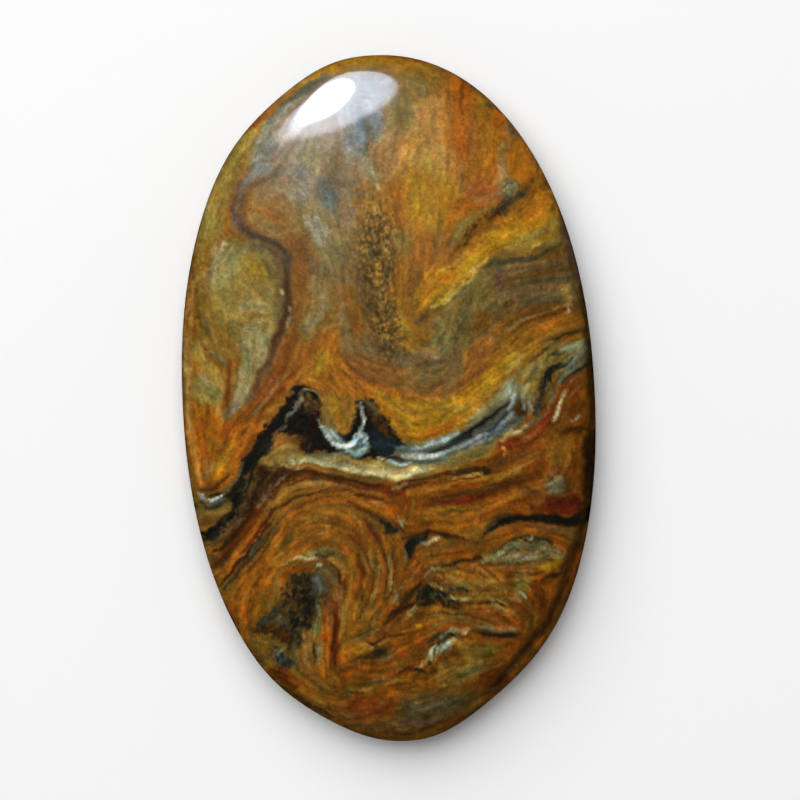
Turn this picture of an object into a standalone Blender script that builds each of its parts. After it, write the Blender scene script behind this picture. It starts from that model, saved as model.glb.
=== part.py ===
"""Polished oval cabochon cut from one piece of pietersite.

Units are metres and +Z is up. The stone lies on its flat back, with its long axis along Y
and its origin at the centre of the back. From below to above it has a flat back, a narrow
bevel that breaks the lower edge, an upright girdle, and a smooth dome.
"""

import math

import bmesh
import bpy

# Driving dimensions
LENGTH = 0.0450
WIDTH = 0.0270
THICKNESS = 0.0060

# Outline: an oval a little fuller than an ellipse, with flats left by grinding by hand.
# Each flat is the direction that it faces, anticlockwise from +X, and its distance from
# the centre as a share of half the length.
OVAL_POWER = 2.16
FLATS = (
    (math.radians(307), 0.871),
    (math.radians(238), 0.919),
    (math.radians(128), 0.884),
    (math.radians(323), 0.801),
)
FLAT_EDGE_SHARPNESS = 40

# Section: heights as shares of the thickness, and the bevel as a share of the width
GIRDLE_TOP = 0.27
BEVEL_TOP = 0.06
BEVEL_INSET = 0.013
DOME_POWER = 2.15

POINTS_AROUND = 96
DOME_RINGS = 16

STONE_COLOUR = (0.235, 0.105, 0.025, 1.0)
STONE_ROUGHNESS = 0.12


def clear_scene():
    """Remove whatever the scene holds."""
    for old in list(bpy.data.objects):
        bpy.data.objects.remove(old, do_unlink=True)


def outline_radius(angle):
    """Distance from the centre to the edge of the stone in one direction."""
    across = abs(math.cos(angle)) / (WIDTH / 2)
    along = abs(math.sin(angle)) / (LENGTH / 2)
    closeness = (across**OVAL_POWER + along**OVAL_POWER) ** (FLAT_EDGE_SHARPNESS / OVAL_POWER)
    for facing, share in FLATS:
        towards = math.cos(angle - facing)
        if towards > 0:
            closeness += (towards / (share * LENGTH / 2)) ** FLAT_EDGE_SHARPNESS
    return closeness ** (-1 / FLAT_EDGE_SHARPNESS)


def outline():
    """Points around the edge of the stone, centred on their own extent."""
    points = []
    for step in range(POINTS_AROUND):
        turn = 2 * math.pi * step / POINTS_AROUND
        angle = math.atan2(LENGTH * math.sin(turn), WIDTH * math.cos(turn))
        radius = outline_radius(angle)
        points.append((radius * math.cos(angle), radius * math.sin(angle)))
    middle_x = (min(x for x, _ in points) + max(x for x, _ in points)) / 2
    middle_y = (min(y for _, y in points) + max(y for _, y in points)) / 2
    return [(x - middle_x, y - middle_y) for x, y in points]


def section():
    """Rings from the back to just short of the crown: a share of the outline, and a height."""
    bevel_share = 1 - BEVEL_INSET * 2
    girdle_height = GIRDLE_TOP * THICKNESS
    rings = [(bevel_share, 0.0), (1.0, BEVEL_TOP * THICKNESS), (1.0, girdle_height)]
    for step in range(1, DOME_RINGS):
        rise = math.pi / 2 * step / DOME_RINGS
        share = math.cos(rise) ** (2 / DOME_POWER)
        height = math.sin(rise) ** (2 / DOME_POWER) * (THICKNESS - girdle_height)
        rings.append((share, girdle_height + height))
    return rings


def stone_mesh():
    """The closed shell: rings bridged upwards, a flat back, and a crown drawn to one point."""
    shell = bmesh.new()
    edge = outline()
    loops = []
    for share, height in section():
        ring = [shell.verts.new((x * share, y * share, height)) for x, y in edge]
        loops.append([shell.edges.new((ring[i - 1], ring[i])) for i in range(POINTS_AROUND)])
    for lower, upper in zip(loops, loops[1:]):
        bmesh.ops.bridge_loops(shell, edges=lower + upper)
    bmesh.ops.contextual_create(shell, geom=loops[0])
    crown = bmesh.ops.contextual_create(shell, geom=loops[-1])["faces"]
    peak = bmesh.ops.poke(shell, faces=crown)["verts"]
    peak[0].co = (0, 0, THICKNESS)
    bmesh.ops.recalc_face_normals(shell, faces=shell.faces)
    mesh = bpy.data.meshes.new("cabochon")
    shell.to_mesh(mesh)
    shell.free()
    return mesh


def stone_material():
    """Polished gold-brown pietersite."""
    material = bpy.data.materials.new("pietersite")
    material.use_nodes = True
    surface = material.node_tree.nodes["Principled BSDF"]
    surface.inputs["Base Color"].default_value = STONE_COLOUR
    surface.inputs["Roughness"].default_value = STONE_ROUGHNESS
    surface.inputs["Metallic"].default_value = 0.0
    return material


def make_cabochon():
    """The whole stone, shaded smooth but for its lower edges."""
    mesh = stone_mesh()
    mesh.materials.append(stone_material())
    mesh.shade_smooth()
    mesh.set_sharp_from_angle(angle=math.radians(30))
    cabochon = bpy.data.objects.new("cabochon", mesh)
    bpy.context.scene.collection.objects.link(cabochon)


clear_scene()
make_cabochon()
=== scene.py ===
"""Polished pietersite cabochon with its swirled pattern, on a plain studio stage."""

import math

import bpy
import numpy as np
from bpy.props import FloatProperty, FloatVectorProperty, IntProperty, PointerProperty
from mathutils import Matrix, Vector


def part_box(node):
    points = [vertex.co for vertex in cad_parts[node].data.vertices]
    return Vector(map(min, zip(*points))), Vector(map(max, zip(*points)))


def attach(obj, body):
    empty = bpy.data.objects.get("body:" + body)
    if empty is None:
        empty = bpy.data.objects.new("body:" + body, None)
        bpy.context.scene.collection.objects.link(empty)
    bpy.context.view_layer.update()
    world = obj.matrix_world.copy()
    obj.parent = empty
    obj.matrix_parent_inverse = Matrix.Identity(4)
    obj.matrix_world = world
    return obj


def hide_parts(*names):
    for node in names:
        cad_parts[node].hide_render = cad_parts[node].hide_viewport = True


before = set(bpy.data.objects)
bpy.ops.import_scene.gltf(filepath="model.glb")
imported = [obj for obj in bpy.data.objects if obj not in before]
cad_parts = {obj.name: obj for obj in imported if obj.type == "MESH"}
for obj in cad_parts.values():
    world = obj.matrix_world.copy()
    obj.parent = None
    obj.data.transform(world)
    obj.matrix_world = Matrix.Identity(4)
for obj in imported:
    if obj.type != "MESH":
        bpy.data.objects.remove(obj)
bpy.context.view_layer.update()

bl_info = {
    "name": "Pietersite Cabochon",
    "version": (1, 0, 0),
    "blender": (4, 5, 0),
    "location": "3D View > Sidebar > Cabochon",
    "description": "Polished pietersite cabochon on a plain studio stage",
    "category": "Add Mesh",
}

STONE_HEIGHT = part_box("cabochon")[1].z

# Outline of the stone, as it was cut: an oval a little fuller than an ellipse, with flats.
# Each flat is the direction that it faces and its distance as a share of half the length.
OVAL_LENGTH = 0.0450
OVAL_WIDTH = 0.0270
OVAL_POWER = 2.16
FLATS = (
    (math.radians(307), 0.871),
    (math.radians(238), 0.919),
    (math.radians(128), 0.884),
    (math.radians(323), 0.801),
)
FLAT_EDGE_SHARPNESS = 40
OUTLINE_POINTS = 4000

# The surface is made of rings of points. They start from a line along the middle of the crown,
# half as long as MIDDLE_LINE says, and the flatter part of the dome has most of its rings.
MIDDLE_LINE = 0.009
FLATTER_PART = 0.9
FLATTER_RINGS = 0.87
GIRDLE_STRIPS = 4
BEVEL_STRIPS = 3
BACK_COARSENESS = 4
BACK_SPACING = 3

# Flat map of the surface: how far the steep edge of the dome is spread out, how much of the map
# the face takes and from where, and the size of the back and where it lies beside the face
EDGE_SPREAD, EDGE_SPREAD_POWER = 0.0022, 8
FACE_PART, FACE_START = 0.985, 0.005
BACK_SIZE, BACK_GAP, BACK_START = 0.63, 0.015, 0.01

# Where the stone lies in the photograph, in pixels, and how the photograph is turned
PHOTO_SIZE = 800
PHOTO_CENTRE = (388.7, 398.1)
PHOTO_TURN = math.radians(3.0)
METRES_PER_PIXEL = 0.0655e-3

# The pattern is painted in the photograph's pixels: x to the right and y downwards. The stone
# grows banded over one stretch of y, which starts higher at its right, and coarser over another.
PATTERN_LEFT, PATTERN_TOP = 165, 35
PATTERN_RIGHT, PATTERN_BOTTOM = 615, 765
BANDED_FROM, BANDED_TO = 230, 430
RIGHT_FROM, RIGHT_TO, RIGHT_LIFT = 440, 540, 50
LOWER_FROM, LOWER_TO = 430, 580

# How the pattern runs on below the face, for each metre of depth
SLANT_RIGHT, SLANT_DOWN, NARROWING = 0.45, 0.55, 25

# Fibres are random values drawn out along the veins: the size of the noise, its seed and how far
# it is drawn out. Blotches are random values of several sizes, with a seed. Lengths are in pixels.
FIBRES = {"fine": (1.8, 11, 9), "middle": (3.4, 12, 20), "broad": (7.0, 13, 34), "tint": (5.0, 14, 26)}
BLOTCHES = {"grit": ((2.4,), 41), "torn": ((14, 7, 3.5), 21), "mottle": ((9, 4.5, 2.6), 25)}
FIBRE_PITCH, FIBRE_STRIDE = 1.0, 1.5
FLOW_PITCH, FLOW_BLEND = 7, 90
NOISE_SPREAD = 0.37

# Lines have a point every few pixels, and grids are read up to just short of their last row.
LINE_STEP = 4
GRID_EDGE = 1.001

# The marks waver a little, their edges are frayed by the grain, and some break up into specks.
WAVER, WAVER_SIZES, WAVER_SEEDS = 0.9, (18, 8), (31, 35)
FRAYING = {"fine": 0.4, "middle": 0.45, "broad": 0.3, "grit": 0.5}
FRAY_LIMIT = 3
PATCH_TEARING = 0.6
SPECK_SIZES, FIRST_SPECK_SEED = (2.5,), 100
SPECK_FILL, SPECK_CONTRAST = 0.4, 0.85

# How much each kind of grain changes the lightness and the tint of the stone: all over it, and
# on top of that in its banded part and in its lower part
LIGHTNESS = {
    "fine": (0.034, 0.0272, 0.0136),
    "middle": (0.036, 0.0288, 0.0144),
    "broad": (0.018, 0, 0),
    "grit": (0.028, 0, 0),
    "mottle": (0.040, 0, 0.012),
    "torn": (0, 0, 0.026),
}
TINTING = {"tint": (0.022, 0.0176, 0.0088), "torn": (0.026, 0, 0.02)}
TINT = (0.6, -0.3, -1.1)
PALING = 0.08
WARMTH_RANGE, WARMTH_DEPTH = 1.8, 0.035

# Specks of the shader: the average and the usual range of their noise, and how much larger and
# fainter the coarse ones are
NOISE_AVERAGE, NOISE_RANGE = 0.5, (0.35, 0.65)
COARSER, FAINTER = 3, 0.5
BUMP_STRENGTH = 0.25

# The window that the crown mirrors: its direction from the stone, and the distance, the offsets
# to the side and upwards, the size, the radiance and the colour of each of its parts
WINDOW_AZIMUTH, WINDOW_ELEVATION = math.radians(19.4), math.radians(43.9)
WHITE, LAVENDER = (1, 1, 1), (0.82, 0.86, 1.0)
WINDOW_LIGHTS = {
    "window": (0.40, 0.006, -0.056, (0.146, 0.180), 26, WHITE),
    "window_pane": (0.405, 0.080, -0.054, (0.056, 0.14), 7.5, LAVENDER),
    "window_frame": (0.41, -0.032, -0.046, (0.258, 0.28), 10.8, LAVENDER),
}
FILL_PLACE, FILL_SIZE, FILL_RADIANCE = (-0.15, 0.34, 0.46), (0.8, 0.8), 2.7
SKY_STRENGTH = 0.32

# Colours of the stone as sRGB values from 0 to 255
GROUND_COLOUR = "walnut"
PALETTE = {
    "ink": (20, 18, 12),
    "midnight": (32, 40, 45),
    "umber": (49, 30, 9),
    "moss": (51, 47, 30),
    "bark": (70, 36, 8),
    "oxblood": (105, 40, 16),
    "peat": (69, 51, 23),
    "chestnut": (93, 46, 11),
    "walnut": (100, 62, 17),
    "russet": (112, 60, 14),
    "brick": (134, 77, 36),
    "drab": (98, 77, 42),
    "brown": (103, 71, 34),
    "plum": (92, 68, 54),
    "slate": (80, 81, 65),
    "steel": (105, 114, 118),
    "teal": (96, 122, 116),
    "toffee": (114, 73, 17),
    "bronze": (107, 79, 31),
    "rust": (135, 76, 20),
    "caramel": (122, 80, 34),
    "taupe": (113, 90, 54),
    "olive": (113, 95, 48),
    "amber": (138, 90, 28),
    "khaki": (128, 96, 36),
    "orange": (154, 94, 26),
    "fawn": (138, 104, 62),
    "gold": (150, 108, 27),
    "mushroom": (130, 113, 85),
    "mauve": (134, 117, 98),
    "grey": (118, 117, 105),
    "lichen": (134, 129, 88),
    "straw": (138, 116, 55),
    "sage": (133, 118, 64),
    "tan": (164, 118, 58),
    "blush": (172, 136, 96),
    "bright_gold": (170, 122, 30),
    "yellow": (172, 136, 32),
    "honey": (166, 133, 62),
    "stone": (152, 140, 112),
    "sand": (166, 142, 96),
    "cream": (200, 185, 128),
    "ash": (155, 158, 152),
    "frost": (172, 186, 176),
    "white": (226, 228, 222),
}


def eased(share):
    """A share from 0 to 1 that starts and ends gently."""
    return share * share * (3 - 2 * share)


class Grid:
    """Values on a square grid over the pattern, read smoothly between its points."""

    def __init__(self, values, pitch):
        self.values = values
        self.pitch = pitch

    def at(self, x, y, ease=False):
        rows, columns = self.values.shape
        across = np.clip((x - PATTERN_LEFT) / self.pitch, 0, columns - GRID_EDGE)
        down = np.clip((y - PATTERN_TOP) / self.pitch, 0, rows - GRID_EDGE)
        left, above = across.astype(int), down.astype(int)
        u, v = across - left, down - above
        if ease:
            u, v = eased(u), eased(v)
        upper = self.values[above, left] * (1 - u) + self.values[above, left + 1] * u
        lower = self.values[above + 1, left] * (1 - u) + self.values[above + 1, left + 1] * u
        return upper * (1 - v) + lower * v


def grid_shape(pitch):
    """Rows and columns that cover the pattern at one pitch."""
    rows = int((PATTERN_BOTTOM - PATTERN_TOP) / pitch) + 3
    return rows, int((PATTERN_RIGHT - PATTERN_LEFT) / pitch) + 3


def grid_places(pitch):
    """The places of the points of a grid, row by row."""
    rows, columns = grid_shape(pitch)
    y, x = np.mgrid[0:rows, 0:columns] * pitch
    return x.ravel() + PATTERN_LEFT, y.ravel() + PATTERN_TOP


def noise_grid(pitch, seed):
    """Even random values from -1 to 1."""
    return Grid(np.random.default_rng(seed).uniform(-1, 1, grid_shape(pitch)), pitch)


def blotches(x, y, pitches, seed):
    """Random values that vary smoothly at several sizes together, each about one in size."""
    grids = [noise_grid(pitch, seed + k) for k, pitch in enumerate(pitches)]
    total = sum(grid.at(x, y, ease=True) for grid in grids)
    return total / (NOISE_SPREAD * math.sqrt(len(pitches)))


class Stroke:
    """One mark of the pattern: a vein along an open curve, or a patch inside a closed one."""

    def __init__(self, colour, shade, soft, width, points, fray, strength, grain):
        self.colour = colour
        self.shade = shade
        self.soft = soft
        self.closed = width is None
        self.fray = fray
        self.strength = strength
        self.grain = grain
        self.line, self.width = smooth_line(np.array(points, float).reshape(-1, 2), width)


def vein(colour, shade, soft, width, *points, fray=0.8, strength=1, grain=0):
    """A mark along a curve. width is half its breadth in pixels, or several along it."""
    return Stroke(colour, shade, soft, width, points, fray, strength, grain)


def patch(colour, shade, soft, *points, fray=2.2, strength=1, grain=0):
    """A mark that fills a closed curve."""
    return Stroke(colour, shade, soft, None, points, fray, strength, grain)


def smooth_line(given, width):
    """Points a few pixels apart on the smooth curve through the given ones, with half breadths.

    The curve closes on itself where there is no width.
    """
    if width is None:
        around = np.concatenate([given[-1:], given, given[:2]])
        breadth = np.zeros(len(given) + 1)
    else:
        around = np.concatenate([2 * given[:1] - given[1:2], given, 2 * given[-1:] - given[-2:-1]])
        if np.ndim(width) and len(width) != len(given):
            width = np.interp(np.linspace(0, 1, len(given)), np.linspace(0, 1, len(width)), width)
        breadth = np.broadcast_to(np.asarray(width, float), len(given))
    line, widths = [], []
    for k in range(1, len(around) - 2):
        a, b, c, d = around[k - 1 : k + 3]
        pieces = max(int(np.hypot(*(c - b)) / LINE_STEP), 1)
        t = (np.arange(pieces) / pieces)[:, None]
        curve = 2 * b + (c - a) * t + (2 * a - 5 * b + 4 * c - d) * t**2
        line.append((curve + (3 * b - a - 3 * c + d) * t**3) / 2)
        widths.append(breadth[k - 1] * (1 - t[:, 0]) + breadth[k] * t[:, 0])
    line.append(around[-2:-1])
    widths.append(breadth[-1:])
    return np.concatenate(line), np.concatenate(widths)


def reach_inside(stroke, x, y):
    """How far each place lies inside the stroke's edge, in pixels; negative outside it."""
    start, end = stroke.line[:-1], stroke.line[1:]
    run = end - start
    length = np.maximum((run**2).sum(1), 1e-9)
    away_x = x[:, None] - start[:, 0]
    away_y = y[:, None] - start[:, 1]
    along = np.clip((away_x * run[:, 0] + away_y * run[:, 1]) / length, 0, 1)
    gap = np.hypot(away_x - along * run[:, 0], away_y - along * run[:, 1])
    if not stroke.closed:
        wide = stroke.width[:-1] * (1 - along) + stroke.width[1:] * along
        return (wide - gap).max(1)
    crossing = (start[:, 1] > y[:, None]) != (end[:, 1] > y[:, None])
    rise = np.where(run[:, 1] == 0, 1e-9, run[:, 1])
    crossing &= away_x < away_y / rise * run[:, 0]
    inside = crossing.sum(1) % 2 == 1
    return np.where(inside, gap.min(1), -gap.min(1))


def flow_grids(strokes):
    """The direction that the fibres follow, as the cosine and sine of twice its angle."""
    x, y = grid_places(FLOW_PITCH)
    total = np.zeros((2, len(x)))
    for stroke in strokes:
        if stroke.closed:
            continue
        run = np.diff(stroke.line, axis=0)
        middle = (stroke.line[:-1] + stroke.line[1:]) / 2
        turn = 2 * np.arctan2(run[:, 1], run[:, 0])
        gap = (x[:, None] - middle[:, 0]) ** 2 + (y[:, None] - middle[:, 1]) ** 2
        pull = np.hypot(*run.T) / (gap + FLOW_BLEND) ** 2
        total[0] += pull @ np.cos(turn)
        total[1] += pull @ np.sin(turn)
    total /= np.maximum(np.hypot(*total), 1e-12)
    return [Grid(part.reshape(grid_shape(FLOW_PITCH)), FLOW_PITCH) for part in total]


def fibre_grids(strokes):
    """Random values drawn out both ways along the flow, for each kind of fibre."""
    x, y = grid_places(FIBRE_PITCH)
    twice_cos, twice_sin = flow_grids(strokes)
    noises = [noise_grid(size, seed) for size, seed, _ in FIBRES.values()]
    sums = [noise.at(x, y) for noise in noises]
    reaches = [reach for _, _, reach in FIBRES.values()]
    for way in (1, -1):
        here_x, here_y = x, y
        ahead_x, ahead_y = None, None
        for step in range(1, math.ceil(max(reaches) / FIBRE_STRIDE)):
            turn = np.arctan2(twice_sin.at(here_x, here_y), twice_cos.at(here_x, here_y)) / 2
            last_x, last_y = ahead_x, ahead_y
            ahead_x, ahead_y = np.cos(turn), np.sin(turn)
            sign = way if step == 1 else np.where(ahead_x * last_x + ahead_y * last_y < 0, -1, 1)
            ahead_x, ahead_y = ahead_x * sign, ahead_y * sign
            here_x, here_y = here_x + ahead_x * FIBRE_STRIDE, here_y + ahead_y * FIBRE_STRIDE
            for k, reach in enumerate(reaches):
                if step * FIBRE_STRIDE < reach:
                    fade = 0.5 + 0.5 * math.cos(math.pi * step * FIBRE_STRIDE / reach)
                    sums[k] = sums[k] + fade * noises[k].at(here_x, here_y)
    grids = {}
    for name, total in zip(FIBRES, sums):
        total = (total - total.mean()) / total.std()
        grids[name] = Grid(total.reshape(grid_shape(FIBRE_PITCH)), FIBRE_PITCH)
    return grids


def laid_marks(strokes, x, y, palette, grain):
    """The colour that the marks leave at each place, as sRGB values from 0 to 1."""
    frayed = sum(share * grain[name] for name, share in FRAYING.items())
    colour = np.tile(np.array(palette[GROUND_COLOUR]), (len(x), 1))
    for order, stroke in enumerate(strokes):
        margin = stroke.soft + FRAY_LIMIT * stroke.fray
        low = stroke.line.min(0) - stroke.width.max() - margin
        high = stroke.line.max(0) + stroke.width.max() + margin
        near = np.nonzero((x > low[0]) & (x < high[0]) & (y > low[1]) & (y < high[1]))[0]
        reach = reach_inside(stroke, x[near], y[near])
        reach += stroke.fray * (frayed[near] + PATCH_TEARING * stroke.closed * grain["torn"][near])
        cover = eased(np.clip((reach + stroke.soft) / (2 * stroke.soft), 0, 1)) * stroke.strength
        if stroke.grain:
            speck = blotches(x[near], y[near], SPECK_SIZES, FIRST_SPECK_SEED + order)
            speck = np.clip(SPECK_FILL + SPECK_CONTRAST * speck, 0, 1)
            cover *= 1 - stroke.grain + stroke.grain * speck
        paint = np.clip(np.array(palette[stroke.colour]) * stroke.shade, 0, 1)
        colour[near] += (paint - colour[near]) * cover[:, None]
    return colour


def mixed(grain, shares, banded, lower):
    """Kinds of grain added up: all over, and more of them in the banded and the lower part."""
    total = 0
    for name, (all_over, in_bands, lower_down) in shares.items():
        total = total + grain[name] * (all_over + in_bands * banded + lower_down * lower)
    return total[:, None]


def painted(strokes, x, y, palette):
    """The colour of the pattern at each place, as sRGB values from 0 to 1."""
    grain = {name: grid.at(x, y) for name, grid in fibre_grids(strokes).items()}
    for name, (sizes, seed) in BLOTCHES.items():
        grain[name] = blotches(x, y, sizes, seed)
    x = x + WAVER * blotches(x, y, WAVER_SIZES, WAVER_SEEDS[0])
    y = y + WAVER * blotches(x, y, WAVER_SIZES, WAVER_SEEDS[1])
    colour = laid_marks(strokes, x, y, palette, grain)
    lift = np.interp(x, (RIGHT_FROM, RIGHT_TO), (0, RIGHT_LIFT))
    banded = np.interp(y + lift, (BANDED_FROM, BANDED_TO), (0, 1))
    lower = np.interp(y, (LOWER_FROM, LOWER_TO), (0, 1))
    light = mixed(grain, LIGHTNESS, banded, lower)
    colour = colour * (1 + light) + PALING * np.maximum(light, 0)
    colour = colour * (1 + mixed(grain, TINTING, banded, lower) * np.array(TINT))
    warmth = np.clip(WARMTH_RANGE * (colour[:, 0] - colour[:, 2]), 0, 1)
    colour[:, 2] -= WARMTH_DEPTH * warmth
    return np.clip(colour, 0, 1)


# Each list below is one part of the stone, in the order in which it is laid down. A mark gives
# its colour, how light it is made and how soft its edge is, a vein then gives half its breadth,
# and both give the x and y of their points in turn. fray says how ragged the edge is, strength
# how much it covers what is below it, and grain what share of it breaks up into specks.
BROAD_COLOURS = [
    patch("amber", 1, 20, 380, 40, 500, 80, 600, 300, 610, 480, 540, 680, 400, 760, 260, 700, 170, 480,
        180, 260, 260, 100),
    vein("gold", 1, 6, 9, 255, 118, 285, 90, 320, 70, 360, 62, 400, 62, 430, 70),
    vein("khaki", 1, 7, (10, 13, 13, 12), 247, 140, 230, 170, 214, 205, 203, 245),
    vein("amber", 1, 8, 13, 200, 250, 192, 300, 187, 350, 187, 400, 192, 450),
    patch("mushroom", 1, 14, 262, 150, 285, 140, 330, 130, 370, 110, 382, 140, 368, 175, 352, 215, 340, 240,
        305, 235, 270, 195, 255, 180),
    patch("fawn", 1, 14, 290, 190, 345, 185, 365, 230, 360, 270, 330, 290, 300, 260, 290, 225),
    patch("sand", 1, 16, 362, 140, 400, 100, 440, 90, 445, 130, 440, 175, 400, 185, 368, 180),
    patch("caramel", 1, 10, 360, 185, 395, 190, 405, 240, 410, 300, 405, 350, 380, 350, 368, 290, 362, 240),
    patch("orange", 1, 16, 430, 80, 470, 75, 520, 130, 550, 185, 555, 205, 500, 220, 455, 260, 440, 200),
    patch("brown", 0.95, 7, 480, 270, 520, 264, 560, 254, 580, 262, 587, 290, 582, 310, 550, 317, 520, 327,
        500, 340, 470, 350, 455, 330, 462, 300),
    patch("taupe", 0.95, 9, 350, 340, 380, 330, 420, 335, 440, 310, 470, 330, 468, 365, 455, 388, 435, 397,
        415, 392, 390, 382, 362, 372),
    patch("rust", 1.12, 9, 186, 400, 205, 395, 262, 425, 258, 445, 238, 480, 215, 488, 198, 488),
    patch("russet", 1.1, 10, 500, 445, 550, 400, 590, 370, 600, 450, 595, 520, 500, 520, 400, 530, 390, 485,
        450, 470),
    patch("rust", 1.02, 10, 232, 590, 270, 545, 330, 500, 380, 520, 390, 600, 340, 620, 300, 560, 275, 590,
        262, 622, 245, 622),
    patch("rust", 0.93, 14, 390, 540, 480, 538, 580, 530, 560, 620, 500, 690, 420, 740, 340, 720, 330, 640,
        390, 600),
]

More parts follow.
